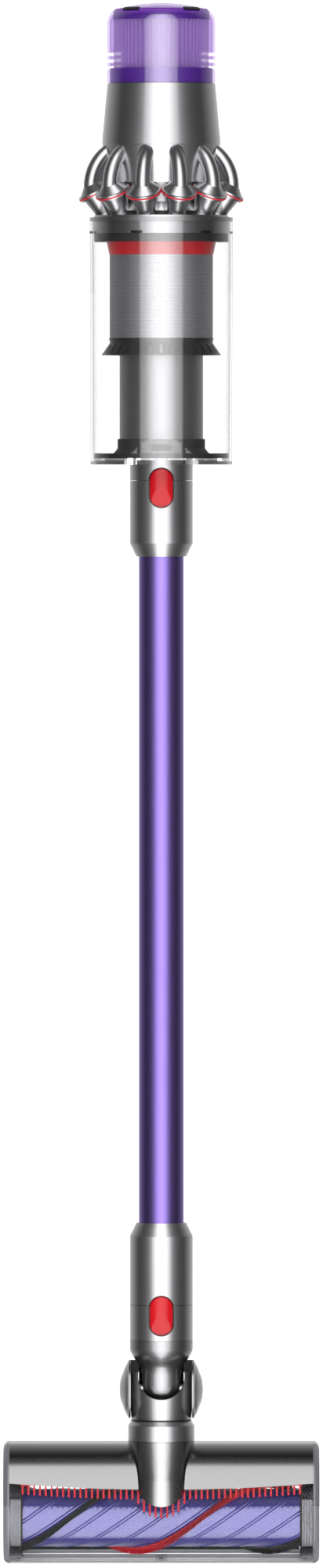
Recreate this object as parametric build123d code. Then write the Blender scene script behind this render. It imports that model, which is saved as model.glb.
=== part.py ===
from build123d import *
import os
from math import atan2, cos, degrees, radians, sin, sqrt

# Cordless stick vacuum cleaner, hung upright with the cleaner head in line with the wand.
# All sizes are in millimetres. Everything is drawn about the wand's axis, x to the right, y to the
# back and z up from the front edge of the cleaner head, and moved to the dock face at the end.

# Fits
running_gap = 0.3
seat_gap = 0.05
shaft_clearance = 0.06

# Heights of the sections, from the bottom up
head_depth = 96.5
swivel_seam_rise = 2.1
swivel_collar_height = 17.0
pivot_rise = 24.4
neck_height = 39.6
neck_collar_height = 28.4
lower_collar_height = 65.5
wand_exposed = 532.9
upper_collar_height = 61.1
inlet_collar_height = 12.5
bin_height = 194.2
bin_collar_thickness = 3.4
cyclone_height = 62.2
housing_height = 44.6
cap_height = 64.6

# Cleaner head
head_half_width = 126.6
head_end_thickness = 5.0
head_end_round = 4.6
head_height = 67.6
head_radius = 36.6
head_wall = 2.0
shell_edge_side = 65.9
shell_edge_middle = 61.0
sole_thickness = 2.6
sole_offset = 40.0
sole_opening_front = 10.0
sole_opening_rear = 66.5
front_strip_height = 9.7
front_strip_depth = 10.0
nose_radius = 20.6
nose_rise = 18.0
nose_tip = 47.8
chamber_wall_thickness = 2.0
window_rib_count = 3
window_rib_pitch = 2.6
window_rib_thickness = 1.0
window_rib_depth = 2.2

# Comb
comb_teeth = 49
comb_pitch = 4.62
comb_tooth_width = 1.5
comb_thickness = 1.6
comb_tooth_reach = 8.0
comb_nose_reach = 9.8
comb_back_depth = 4.0

# Brush bar
brush_core_radius = 23.5
brush_core_bore = 18.5
brush_half_length = 111.0
brush_flutes = 8
brush_flute_depth = 0.9
brush_lead = 211.0
red_strip_crossing = 30.9
bristle_height = 6.0
bristle_width = 5.0
bristle_base_height = 1.4
bristle_rows = 2
bristles_per_row = 100
bristle_side = 1.2
brush_motor_radius = 15.0
brush_motor_length = 95.0
brush_shaft_radius = 3.0
brush_hub_thickness = 7.0
stub_radius = 5.0

# Sole wheels
wheel_radius = 5.0
wheel_width = 8.0
wheel_offset = 70.0
wheel_from_rear = 13.0
wheel_axle_radius = 1.5
wheel_bracket_width = 4.0

# Elbow, swivel and neck
elbow_radius = 24.0
elbow_half_width = 25.7
elbow_cheek_rise = 13.9
cup_radius = 25.4
cup_foot_radius = 23.6
cup_cavity_radius = 16.5
cup_back_rise = 5.0
cup_side_thickness = 1.1
cheek_back = 2.0
elbow_notch_radius = 18.6
elbow_notch_drop = 7.5
elbow_bore = 12.0
drum_half_width = 17.4
neck_half_width = 15.8
neck_half_depth = 12.4
neck_bowl_radius = 16.0
neck_stem_rise = 3.6
neck_barrel_radius = 13.0
neck_bore = 11.0
neck_band = 6.6
neck_radius = 25.4
pivot_pin_radius = 4.0
pivot_pin_inner = 12.5
pivot_cap_height = 7.9
swivel_collar_radius = 26.7
swivel_chamfer = 4.4
swivel_spigot_radius = 19.9
swivel_spigot_length = 19.0
swivel_lip = 1.4
swivel_lip_height = 2.4
swivel_bore = 14.0

# Wand
wand_radius = 17.9
wand_wall = 1.2
wand_insertion = 25.5
collar_radius = 25.3
collar_chamfer = 10.6
collar_chamfer_radius = 20.1
duct_radius = 16.5
spigot_radius = 20.0
spigot_length = 16.2
socket_clearance = 0.4
wiring_thickness = 1.4
wiring_half_angle = 18.0

# Release buttons
button_width = 19.4
button_length = 31.8
button_proud = 0.7
button_depth = 5.6
button_tab_depth = 2.6
button_travel = 2.5
button_clearance = 0.4
upper_button_tab = 9.8
lower_button_tab = 7.6
scoop_radius = 12.0
scoop_depth = 2.6

# Bin
bin_radius_top = 57.5
bin_radius_bottom = 56.8
bin_wall = 2.0
base_thickness = 3.1
base_step_height = 1.9
base_step_gap = 0.9
base_seal_height = 4.0
base_seal_width = 5.0
inlet_mouth_half_width = 16.0
inlet_mouth_height = 17.0
inlet_mouth_depth = 11.5
inlet_mouth_wall = 1.6
base_rib_height = 9.0
base_rib_thickness = 1.8
hinge_pin_radius = 1.5
hinge_offset = 6.7
hinge_ear_radius = 3.0
hinge_ear_half_width = 5.8
hinge_clevis_width = 5.0

# Shroud and inner tube, inside the bin
rim_height = 9.7
bin_seal_height = 6.5
bin_seal_radius = 53.8
shroud_hub_radius = 46.0
shroud_inner_radius = 36.0
band_height = 10.2
band_radius_top = 43.9
shroud_radius = 41.3
shroud_wall = 1.2
shroud_height = 66.8
skirt_ring_height = 4.0
skirt_height = 9.6
skirt_radius = 47.9
skirt_wall = 1.6
skirt_fins = 30
skirt_louvre = 2.0
inner_tube_radius = 33.4
inner_tube_wall = 1.6
inner_tube_length = 66.9
tube_seal_radius = 35.0
tube_seal_flare = 38.7

# Cyclones
cyclone_count = 12
cyclone_ring_radius = 54.5
cyclone_tilt = 28.0
cyclone_centre_rise = 19.8
flange_radius = 14.0
flange_thickness = 1.4
gasket_thickness = 1.0
gasket_overhang = 0.5
cyclone_cap_height = 5.6
cyclone_cap_root = 12.6
cyclone_cap_top = 7.0
cup_radius_top = 11.2
cup_radius_bottom = 7.2
cup_length = 18.0
cup_wall = 1.6
finger_radius = 6.0
finger_bore = 4.2
finger_sweep_radius = 34.1
finger_sweep_angle = 62.0
finger_web = 6.0
manifold_radius = 47.0
manifold_bore = 42.0

# Motor housing, motor and fan
housing_radius_bottom = 47.4
housing_radius_top = 43.3
housing_wall = 2.0
motor_radius = 24.0
motor_length = 56.0
motor_rise = 10.0
motor_wall = 1.2
motor_flange_thickness = 3.0
fan_radius = 20.0
fan_height = 6.0
fan_blades = 11
fan_shaft_radius = 2.5
rotor_radius = 8.0
rotor_length = 26.0
stator_gap = 0.5
bearing_radius = 6.5
bearing_length = 5.0

# Filter
cap_wall = 2.0
cap_corner = 12.0
cap_crown_angle = 75.0
cap_slots = 3
cap_slot_height = 2.5
cap_slot_pitch = 5.3
cap_slot_first = 11.5
cap_slot_arc = 84.0
frame_band_height = 12.4
frame_band_radius = 40.9
frame_top_height = 3.4
frame_top_radius = 38.6
frame_sleeve = 31.0
frame_sleeve_wall = 1.0
media_height = 39.0
media_radius = 38.0
media_pleats = 64
media_depth = 5.0

# Handle, trigger and battery
handle_start = 56.0
handle_length = 94.0
handle_rise = 22.5
handle_wall = 2.4
handle_half_width = 16.5
handle_half_height = 19.5
handle_screw_radius = 1.5
handle_screw_head = 2.8
handle_screw_head_height = 2.0
handle_boss_radius = 4.2
board_thickness = 1.6
board_half_width = 11.2
board_length = 56.0
board_ledge = 2.4
trigger_width = 13.0
trigger_length = 26.0
trigger_from_body = 13.0
trigger_drop = 11.0
trigger_travel = 6.0
battery_width = 45.0
battery_depth = 44.0
battery_length = 166.0
battery_above_handle = 23.0
battery_round = 9.0
battery_wall = 2.2
battery_base_thickness = 3.0
cell_radius = 9.1
cell_length = 65.0
cell_spacing = 19.6
charge_slot_width = 16.0
charge_slot_depth = 7.0
charge_slot_offset = 11.0

# Runner rail behind the bin
runner_half_width = 13.0
runner_groove = 6.4
runner_start = 62.0
runner_depth = 10.0
runner_groove_depth = 6.5
runner_length = 177.0
slider_length = 115.0
lever_width = 16.0
lever_length = 28.0
lever_height = 6.5
lever_travel = 8.0
lever_tongue = 5.4
lever_from_top = 10.0

# Heights of the seams, stacked from the sections above
swivel_seam = head_depth + swivel_seam_rise
elbow_bottom = swivel_seam + swivel_collar_height
pivot_z = elbow_bottom + pivot_rise
neck_seam = pivot_z + neck_height
head_seam = neck_seam + neck_collar_height
tube_bottom = head_seam + lower_collar_height
tube_top = tube_bottom + wand_exposed
wand_seam = tube_top + upper_collar_height
bin_bottom = wand_seam + inlet_collar_height
bin_top = bin_bottom + bin_height
collar_top = bin_top + bin_collar_thickness
housing_bottom = collar_top + cyclone_height
housing_top = housing_bottom + housing_height
total_height = housing_top + cap_height

nodes = {}
base_aligned = (Align.CENTER, Align.CENTER, Align.MIN)


def turned(*outline):
    # Solid turned about the wand's axis from a closed outline of (radius, height) points.
    return revolve(make_face(Polyline(*[(r, 0, z) for r, z in outline], close=True)), Axis.Z)


def tube(outer, inner, low, high):
    return turned((inner, low), (outer, low), (outer, high), (inner, high))


def rod(radius, low, high):
    return Pos(0, 0, low) * Cylinder(radius, high - low, align=base_aligned)


def block(x0, x1, y0, y1, z0, z1):
    return Pos((x0 + x1) / 2, (y0 + y1) / 2, (z0 + z1) / 2) * Box(x1 - x0, y1 - y0, z1 - z0)


def rod_x(radius, x0, x1, y, z):
    return Pos(x0, y, z) * Rot(0, 90, 0) * Cylinder(radius, x1 - x0, align=base_aligned)


def rod_y(radius, y0, y1, x, z):
    return Pos(x, y0, z) * Rot(-90, 0, 0) * Cylinder(radius, y1 - y0, align=base_aligned)


def turned_x(outline, y, z):
    # Solid turned about a line along x from a closed outline of (x, radius) points.
    return Pos(0, y, z) * revolve(make_face(Polyline(*[(x, r, 0) for x, r in outline], close=True)), Axis.X)


def around(shape, count, first=0.0):
    return [Rot(0, 0, first + 360 / count * i) * shape for i in range(count)]


def fused(first, others):
    return first.fuse(*others).clean()


def obround(width, length, y0, y1, middle):
    # Upright plate with round ends, through y0 to y1.
    half = length / 2 - width / 2
    plate = block(-width / 2, width / 2, y0, y1, middle - half, middle + half)
    return plate + rod_y(width / 2, y0, y1, 0, middle - half) + rod_y(width / 2, y0, y1, 0, middle + half)


# Filter: clear cap, pleated drum and the frame that carries it
def cap_solid(radius, low, height, corner):
    # Straight wall, round corner and a shallow crown that meet without a break.
    crown = radians(cap_crown_angle)
    corner_end = radius - corner + corner * cos(crown)
    crown_radius = corner_end / cos(crown)
    rise = corner * sin(crown) + crown_radius * (1 - sin(crown))
    wall_top = low + height - rise
    half = crown / 2
    corner_middle = (radius - corner + corner * cos(half), 0, wall_top + corner * sin(half))
    corner_point = (corner_end, 0, wall_top + corner * sin(crown))
    crown_centre = low + height - crown_radius
    lean = (radians(90) - crown) / 2
    crown_middle = (crown_radius * sin(lean), 0, crown_centre + crown_radius * cos(lean))
    edges = [
        Line((0, 0, low), (radius, 0, low)),
        Line((radius, 0, low), (radius, 0, wall_top)),
        ThreePointArc((radius, 0, wall_top), corner_middle, corner_point),
        ThreePointArc(corner_point, crown_middle, (0, 0, low + height)),
        Line((0, 0, low + height), (0, 0, low)),
    ]
    return revolve(make_face(edges), Axis.Z)


cap_low = housing_top + running_gap
cap_rise = cap_height - running_gap
filter_cap = cap_solid(housing_radius_top, cap_low, cap_rise, cap_corner)
filter_cap -= cap_solid(housing_radius_top - cap_wall, cap_low, cap_rise - cap_wall, cap_corner - cap_wall)
for i in range(cap_slots):
    slot_low = housing_top + cap_slot_first + cap_slot_pitch * i
    slot_face = make_face(Polyline(
        (housing_radius_top - 2 * cap_wall, 0, slot_low),
        (housing_radius_top + cap_wall, 0, slot_low),
        (housing_radius_top + cap_wall, 0, slot_low + cap_slot_height),
        (housing_radius_top - 2 * cap_wall, 0, slot_low + cap_slot_height),
        close=True,
    ))
    slot = revolve(slot_face, Axis.Z, revolution_arc=cap_slot_arc)
    for side in (0, 180):
        filter_cap -= Rot(0, 0, side - cap_slot_arc / 2) * slot
nodes["filter_cap"] = filter_cap

band_low = housing_top + running_gap
band_high = housing_top + frame_band_height
media_high = band_high + media_height
cap_bore = housing_radius_top - cap_wall
nodes["filter_frame"] = turned(
    (frame_sleeve - frame_sleeve_wall, band_low),
    (cap_bore - seat_gap, band_low),
    (cap_bore - seat_gap, band_low + 2),
    (frame_band_radius, band_low + 2),
    (frame_band_radius, band_high),
    (frame_sleeve, band_high),
    (frame_sleeve, media_high),
    (frame_top_radius, media_high),
    (frame_top_radius, media_high + frame_top_height),
    (frame_sleeve - frame_sleeve_wall, media_high + frame_top_height),
)
pleats = []
for i in range(media_pleats * 2):
    reach = media_radius if i % 2 == 0 else media_radius - media_depth
    turn = 360 / (media_pleats * 2) * i
    pleats.append((reach * cos(radians(turn)), reach * sin(radians(turn))))
media = Pos(0, 0, band_high) * extrude(make_face(Polyline(*pleats, close=True)), media_height)
nodes["filter_media"] = media - rod(frame_sleeve + seat_gap, band_high, media_high)

# Motor housing with the seat for the handle, and the motor inside
seat_z = housing_bottom + handle_rise
housing = turned(
    (housing_radius_bottom - 7, housing_bottom),
    (housing_radius_bottom, housing_bottom),
    (housing_radius_top, housing_top),
    (housing_radius_top - 7, housing_top),
    (housing_radius_top - 7, housing_top - housing_wall),
    (housing_radius_top - housing_wall, housing_top - housing_wall),
    (housing_radius_bottom - housing_wall, housing_bottom + housing_wall),
    (housing_radius_bottom - 7, housing_bottom + housing_wall),
)
seat = rod_y(handle_half_width + 2, 0, handle_start, 0, seat_z)
seat_void = turned(
    (0, housing_bottom),
    (housing_radius_bottom - housing_wall, housing_bottom),
    (housing_radius_top - housing_wall, housing_top),
    (0, housing_top),
)
nodes["motor_housing"] = housing + (seat - seat_void)

motor_low = housing_bottom + motor_rise
motor_high = motor_low + motor_length
flange_low = motor_low + 8
flange_slope = (housing_radius_bottom - housing_radius_top) / housing_height
flange_fit = housing_radius_bottom - housing_wall - 0.2
flange_reach = flange_fit - flange_slope * (flange_low + motor_flange_thickness - housing_bottom)
nodes["motor_can"] = turned(
    (bearing_radius + seat_gap, motor_low),
    (motor_radius, motor_low),
    (motor_radius, flange_low),
    (flange_reach, flange_low),
    (flange_reach, flange_low + motor_flange_thickness),
    (motor_radius, flange_low + motor_flange_thickness),
    (motor_radius, motor_high),
    (bearing_radius + seat_gap, motor_high),
    (bearing_radius + seat_gap, motor_high - bearing_length),
    (motor_radius - motor_wall, motor_high - bearing_length),
    (motor_radius - motor_wall, motor_low + bearing_length),
    (bearing_radius + seat_gap, motor_low + bearing_length),
)
rotor_low = motor_low + (motor_length - rotor_length) / 2
nodes["motor_stator"] = tube(
    motor_radius - motor_wall - seat_gap, rotor_radius + stator_gap, rotor_low, rotor_low + rotor_length)
bearing_bore = fan_shaft_radius + shaft_clearance
bearing = tube(bearing_radius, bearing_bore, motor_low, motor_low + bearing_length)
nodes["motor_bearings"] = Compound(children=[
    bearing.solid(),
    (Pos(0, 0, motor_length - bearing_length) * bearing).solid(),
])
fan_high = motor_low - 1.0
fan_low = fan_high - fan_height
nodes["fan_shaft"] = turned(
    (0, fan_low),
    (fan_shaft_radius, fan_low),
    (fan_shaft_radius, rotor_low),
    (rotor_radius, rotor_low),
    (rotor_radius, rotor_low + rotor_length),
    (fan_shaft_radius, rotor_low + rotor_length),
    (fan_shaft_radius, motor_high + 1),
    (0, motor_high + 1),
)
fan_hub = turned(
    (fan_shaft_radius + seat_gap, fan_low),
    (fan_shaft_radius + 3, fan_low),
    (fan_radius, fan_high - 1.2),
    (fan_radius, fan_high),
    (fan_shaft_radius + seat_gap, fan_high),
)
blade = Rot(0, 0, 0) * block(fan_shaft_radius + 1.5, fan_radius - 0.6, -0.5, 0.5, fan_low, fan_high - 0.5)
nodes["fan_impeller"] = fused(fan_hub, around(blade, fan_blades))

# Cyclones: one sector is drawn along x, trimmed to its share of the circle and repeated
cyclone_z = collar_top + cyclone_centre_rise
half_share = radians(180 / cyclone_count)
reach_out = cyclone_ring_radius + 2 * flange_radius
share = extrude(make_face(Polyline(
    (0, 0, collar_top),
    (reach_out, -reach_out * sin(half_share) / cos(half_share), collar_top),
    (reach_out, reach_out * sin(half_share) / cos(half_share), collar_top),
    close=True,
)), cyclone_height, dir=(0, 0, 1))
on_cyclone = Pos(cyclone_ring_radius, 0, cyclone_z) * Rot(0, cyclone_tilt, 0)
first_cyclone = -90 + 180 / cyclone_count
half_gasket = gasket_thickness / 2

cap_foot = half_gasket + flange_thickness
cap_peak = cap_foot + cyclone_cap_height
tilt = radians(cyclone_tilt)
finger_start = cyclone_ring_radius + cap_peak * sin(tilt)
finger_foot = cyclone_z + cap_peak * cos(tilt) - 1.6
finger_axis_x = finger_start - finger_sweep_radius
finger_axis = Axis((finger_axis_x, 0, finger_foot), (0, -1, 0))


def finger(radius, start_drop):
    foot = Pos(finger_start, 0, finger_foot) * Circle(radius)
    bend = revolve(foot, finger_axis, revolution_arc=finger_sweep_angle)
    return bend + Pos(finger_start, 0, finger_foot - start_drop) * Cylinder(
        radius, start_drop, align=base_aligned)


top_flange = on_cyclone * rod(flange_radius, half_gasket, cap_foot)
cap_cone = on_cyclone * Pos(0, 0, cap_foot) * Cone(
    cyclone_cap_root, cyclone_cap_top, cyclone_cap_height, align=base_aligned)
web = rod_y(finger_sweep_radius, -finger_web / 2, finger_web / 2, finger_axis_x, finger_foot)
web &= block(manifold_bore, reach_out, -finger_web, finger_web, finger_foot - 2, housing_bottom - 4)
above_gasket = on_cyclone * block(-reach_out, reach_out, -reach_out, reach_out, half_gasket, reach_out)
duct_bore = on_cyclone * rod(finger_bore, half_gasket - 1, cap_peak) + finger(finger_bore, 1)
cap_sector = (top_flange + cap_cone + finger(finger_radius, 3) + web) & above_gasket & share
cap_sector -= duct_bore
manifold_foot = cyclone_z + (flange_radius + gasket_overhang) * sin(tilt) + 1.2
manifold = turned(
    (manifold_bore, manifold_foot),
    (manifold_radius - 1, manifold_foot),
    (manifold_radius, housing_bottom - 5),
    (housing_radius_bottom, housing_bottom - 4),
    (housing_radius_bottom, housing_bottom),
    (manifold_bore, housing_bottom),
)
nodes["cyclone_caps"] = fused(manifold, around(cap_sector, cyclone_count, first_cyclone)) - rod(
    manifold_bore, manifold_foot - 10, housing_bottom)

gasket_sector = on_cyclone * rod(flange_radius + gasket_overhang, -half_gasket, half_gasket)
gasket_sector -= on_cyclone * rod(cyclone_cap_top, -gasket_thickness, gasket_thickness)
gaskets = around(gasket_sector & share, cyclone_count, first_cyclone)
nodes["cyclone_gasket"] = fused(gaskets[0], gaskets[1:])

cup_top = -half_gasket - flange_thickness
low_flange = on_cyclone * rod(flange_radius - gasket_overhang, cup_top, -half_gasket)
cup = on_cyclone * Pos(0, 0, cup_top - cup_length) * Cone(
    cup_radius_bottom, cup_radius_top, cup_length, align=base_aligned)
cup_bore = on_cyclone * Pos(0, 0, cup_top - cup_length) * Cone(
    cup_radius_bottom - cup_wall, cup_radius_top - cup_wall, cup_length + flange_thickness,
    align=base_aligned)
above_collar = block(-reach_out, reach_out, -reach_out, reach_out, collar_top, housing_bottom)
cup_sector = (low_flange + cup) & share & above_collar
cup_ring = turned(
    (shroud_inner_radius, collar_top),
    (bin_radius_top - 3.5, collar_top),
    (bin_radius_top - 3.5, collar_top + 1.4),
    (cyclone_ring_radius - 8, collar_top + 5),
    (cyclone_ring_radius - 10, collar_top + 12),
    (shroud_inner_radius, collar_top + 12),
)
cups = fused(cup_ring, around(cup_sector, cyclone_count, first_cyclone))
nodes["cyclone_cones"] = cups.cut(*around(cup_bore & share & above_collar, cyclone_count, first_cyclone))

# Bin collar with the runner rail, and what hangs inside the bin
rim_low = bin_top - rim_height
hub_low = rim_low - bin_seal_height
rim_radius = bin_radius_top - bin_wall - 0.6
frame = turned(
    (shroud_inner_radius, hub_low),
    (shroud_hub_radius, hub_low),
    (shroud_hub_radius, rim_low),
    (rim_radius, rim_low),
    (rim_radius, bin_top),
    (bin_radius_top, bin_top),
    (bin_radius_top, collar_top),
    (shroud_inner_radius, collar_top),
)
runner_back = runner_start + runner_depth
rail_low = collar_top - runner_length
rail = block(-runner_half_width, runner_half_width, runner_start, runner_back, rail_low, collar_top)
rail -= block(
    -runner_groove, runner_groove, runner_start - 1, runner_start + runner_groove_depth,
    rail_low - 1, rim_low)
tongue = block(-runner_half_width, runner_half_width, shroud_hub_radius, runner_back, bin_top, collar_top)
lever_high = collar_top - lever_from_top
lever_low = lever_high - lever_length
tongue_gap = lever_tongue / 2 + running_gap
lever_slot = block(
    -tongue_gap, tongue_gap, runner_start, runner_back + 1, lever_low - lever_travel, lever_high - 3)
nodes["bin_frame"] = frame + tongue + rail - lever_slot
nodes["bin_seal"] = tube(bin_seal_radius, shroud_hub_radius + seat_gap, hub_low, rim_low)

band_low_z = hub_low - band_height
nodes["shroud_band"] = turned(
    (shroud_inner_radius, band_low_z),
    (shroud_radius + 0.4, band_low_z),
    (band_radius_top, hub_low),
    (shroud_inner_radius, hub_low),
)
mesh_low = band_low_z - shroud_height
nodes["shroud_mesh"] = tube(shroud_radius, shroud_radius - shroud_wall, mesh_low, band_low_z)
skirt_top = mesh_low - skirt_ring_height
skirt_low = skirt_top - skirt_height
skirt_bore = inner_tube_radius - inner_tube_wall
skirt_plate = mesh_low - skirt_wall
skirt = turned(
    (skirt_bore, mesh_low),
    (shroud_radius + 0.5, mesh_low),
    (shroud_radius + 0.5, skirt_plate),
    (shroud_radius, skirt_plate),
    (shroud_radius, skirt_top),
    (skirt_radius, skirt_low),
    (skirt_radius - skirt_wall, skirt_low),
    (shroud_radius - skirt_wall, skirt_top - 1),
    (shroud_radius - skirt_wall, skirt_plate),
    (skirt_bore, skirt_plate),
)
fin = block(inner_tube_radius + 1, shroud_radius - 0.8, -0.6, 0.6, skirt_low + 2, skirt_plate + 0.5)
louvre = Rot(0, 0, 180 / skirt_fins) * block(
    shroud_radius - 3, skirt_radius + 2, -skirt_louvre / 2, skirt_louvre / 2, skirt_low + 2, skirt_top - 0.8)
nodes["shroud_skirt"] = fused(skirt, around(fin, skirt_fins)) - around(louvre, skirt_fins)
tube_low = skirt_low - inner_tube_length
nodes["inner_tube"] = tube(inner_tube_radius, skirt_bore, tube_low, skirt_plate)

# Bin, its slider in the runner rail and the hinged base
shell_low = bin_bottom + base_thickness + running_gap
shell_high = bin_top - running_gap
shell_taper = (bin_radius_top - bin_radius_bottom) / (shell_high - shell_low)
nodes["bin_shell"] = turned(
    (bin_radius_bottom - bin_wall, shell_low),
    (bin_radius_bottom, shell_low),
    (bin_radius_top, shell_high),
    (bin_radius_top - bin_wall, shell_high),
)
hinge_y = bin_radius_bottom + hinge_offset
hinge_z = bin_bottom + base_thickness - hinge_ear_radius - running_gap
slider_half = runner_groove - 0.4
slider_back = runner_start + runner_groove_depth - 0.5
slider_low = shell_low + hinge_ear_radius - 1
slider_high = slider_low + slider_length
slider = block(-slider_half, slider_half, bin_radius_bottom - 3, slider_back, slider_low, slider_high)
ear_inner = hinge_ear_half_width + running_gap
ear_outer = ear_inner + hinge_clevis_width
for x0, x1 in ((-ear_outer, -ear_inner), (ear_inner, ear_outer)):
    slider += rod_x(hinge_ear_radius + 1, x0, x1, hinge_y, hinge_z)
    slider += block(x0, x1, hinge_y - 4, hinge_y + 4, hinge_z, slider_low + 8)
slider += block(-ear_outer, ear_outer, bin_radius_bottom - 3, hinge_y + 4, slider_low, slider_low + 8)
slider -= rod_x(hinge_pin_radius + seat_gap, -ear_outer - 1, ear_outer + 1, hinge_y, hinge_z)
shell_outside = turned(
    (0, shell_low - 20),
    (bin_radius_bottom + seat_gap, shell_low - 20),
    (bin_radius_bottom + seat_gap, shell_low),
    (bin_radius_top + seat_gap, shell_high),
    (0, shell_high),
)
nodes["bin_slider"] = slider - shell_outside
nodes["base_hinge_pin"] = rod_x(hinge_pin_radius, -ear_outer, ear_outer, hinge_y, hinge_z)

socket_radius = spigot_radius + socket_clearance
base_top = bin_bottom + base_thickness
step_top = base_top + base_step_height
step_radius = bin_radius_bottom - bin_wall - base_step_gap
base = turned(
    (socket_radius, bin_bottom),
    (bin_radius_bottom, bin_bottom),
    (bin_radius_bottom, base_top),
    (step_radius, base_top),
    (step_radius, step_top),
    (socket_radius, step_top),
)
base += rod_x(hinge_ear_radius, -hinge_ear_half_width, hinge_ear_half_width, hinge_y, hinge_z)
base += block(
    -hinge_ear_half_width, hinge_ear_half_width, bin_radius_bottom - 6, hinge_y,
    hinge_z - hinge_ear_radius, hinge_z + hinge_ear_radius)
base -= rod_x(
    hinge_pin_radius + shaft_clearance, -hinge_ear_half_width - 1, hinge_ear_half_width + 1,
    hinge_y, hinge_z)
rib_inner = inlet_mouth_half_width + 3
rib_outer = rib_inner + 10
mouth_back = -inner_tube_radius - 2.5 * running_gap
for side in (-1, 1):
    rib_face = make_face(Polyline(
        (side * rib_inner, 0, step_top - 0.5),
        (side * rib_outer, 0, step_top - 0.5),
        (side * rib_inner, 0, step_top + base_rib_height),
        close=True,
    ))
    rib_front = mouth_back - 4
    base += Pos(0, rib_front, 0) * extrude(rib_face, base_rib_thickness, dir=(0, 1, 0))
nodes["bin_base"] = base
seal_radius = step_radius - 0.1
nodes["base_seal"] = tube(seal_radius, seal_radius - base_seal_width, step_top, step_top + base_seal_height)
nodes["inlet_collar"] = tube(collar_radius, socket_radius, wand_seam, bin_bottom)

mouth_front = mouth_back - inlet_mouth_depth
mouth_high = step_top + inlet_mouth_height


def mouth_outline(shrink):
    half = inlet_mouth_half_width - shrink
    shoulder = mouth_high - 5
    outline = [
        Line((-half, 0, step_top), (half, 0, step_top)),
        Line((half, 0, step_top), (half, 0, shoulder)),
        ThreePointArc((half, 0, shoulder), (0, 0, mouth_high - shrink), (-half, 0, shoulder)),
        Line((-half, 0, shoulder), (-half, 0, step_top)),
    ]
    return make_face(outline)


mouth = Pos(0, mouth_front, 0) * extrude(mouth_outline(0), inlet_mouth_depth, dir=(0, 1, 0))
mouth -= Pos(0, mouth_front + inlet_mouth_wall, 0) * extrude(
    mouth_outline(inlet_mouth_wall), inlet_mouth_depth, dir=(0, 1, 0))
mouth -= block(
    -inlet_mouth_half_width / 2, inlet_mouth_half_width / 2,
    mouth_front - 1, mouth_front + 2 * inlet_mouth_wall, step_top + 6, mouth_high - 6)
nodes["inlet_dome"] = mouth

seal_low = step_top + 1.5 * running_gap
tube_seal = turned(
    (skirt_bore, tube_low),
    (tube_seal_radius, tube_low),
    (tube_seal_radius, seal_low + 7.5),
    (tube_seal_flare, seal_low + 3),
    (tube_seal_flare, seal_low),
    (skirt_bore, seal_low),
)
mouth_gap = inlet_mouth_half_width + 2 * running_gap
nodes["tube_seal"] = tube_seal - block(-mouth_gap, mouth_gap, -60, 0, seal_low - 1, tube_low + 1)

# Bin release lever
lever_back = runner_back + running_gap
lever = block(
    -lever_width / 2, lever_width / 2, lever_back, lever_back + lever_height, lever_low, lever_high - 6)
lever = fillet(lever.edges().filter_by(Axis.X).group_by(Axis.Y)[-1], lever_height * 0.4)
lever_neck = block(
    -lever_tongue / 2, lever_tongue / 2, runner_back - 3, lever_back + 1, lever_low + 2, lever_high - 8)
nodes["bin_lever"] = lever + lever_neck


# Wand with its two collars
def button_solid(seam, tab, clearance, inward):
    # Thumb button over a seam. The tab above the seam is thin and hooks over the next collar.
    middle = seam + tab - button_length / 2
    shape = obround(
        button_width + 2 * clearance, button_length + 2 * clearance,
        -collar_radius - 3, -collar_radius + button_depth + inward, middle)
    return shape


def release_button(seam, tab):
    middle = seam + tab - button_length / 2
    shape = button_solid(seam, tab, 0, 0) & rod(collar_radius + button_proud, middle - 40, middle + 40)
    shape -= block(
        -button_width, button_width, -collar_radius + button_tab_depth, 0,
        seam - button_clearance, seam + 40)
    # The thumb's scoop starts at mid height and deepens down to the lower edge.
    scoop_tilt = degrees(atan2(scoop_depth, button_length / 2))
    scoop = Pos(0, -collar_radius - button_proud, middle) * Rot(scoop_tilt, 0, 0) * Pos(0, -scoop_radius, 0)
    shape -= scoop * Cylinder(scoop_radius, 2 * button_length)
    return shape


def button_pocket(seam, tab):
    pocket = button_solid(seam, tab, button_clearance, button_travel + button_clearance)
    return pocket & block(-40, 40, -40, 0, seam - 60, seam + 0.01)


def button_notch(seam, tab):
    notch = button_solid(seam, tab, button_clearance, button_travel)
    return notch & block(-40, 40, -40, 0, seam - 0.01, seam + 60)


upper_collar = turned(
    (duct_radius, tube_top + wand_insertion),
    (wand_radius + seat_gap, tube_top + wand_insertion),
    (wand_radius + seat_gap, tube_top),
    (collar_chamfer_radius, tube_top),
    (collar_radius, tube_top + collar_chamfer),
    (collar_radius, wand_seam - running_gap),
    (spigot_radius, wand_seam - running_gap),
    (spigot_radius, wand_seam + spigot_length),
    (duct_radius, wand_seam + spigot_length),
)
nodes["upper_collar"] = upper_collar - button_pocket(wand_seam, upper_button_tab)
nodes["inlet_collar"] -= button_notch(wand_seam, upper_button_tab)
nodes["wand_button"] = release_button(wand_seam, upper_button_tab)
nodes["wand_tube"] = tube(
    wand_radius, wand_radius - wand_wall, tube_bottom - wand_insertion, tube_top + wand_insertion)
wiring_radius = wand_radius - wand_wall - seat_gap
wiring_face = make_face(Polyline(
    (wiring_radius - wiring_thickness, 0, tube_bottom - wand_insertion),
    (wiring_radius, 0, tube_bottom - wand_insertion),
    (wiring_radius, 0, tube_top + wand_insertion),
    (wiring_radius - wiring_thickness, 0, tube_top + wand_insertion),
    close=True,
))
nodes["wand_wiring"] = Rot(0, 0, 90 - wiring_half_angle) * revolve(
    wiring_face, Axis.Z, revolution_arc=2 * wiring_half_angle)
socket_depth = spigot_length + 4
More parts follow.
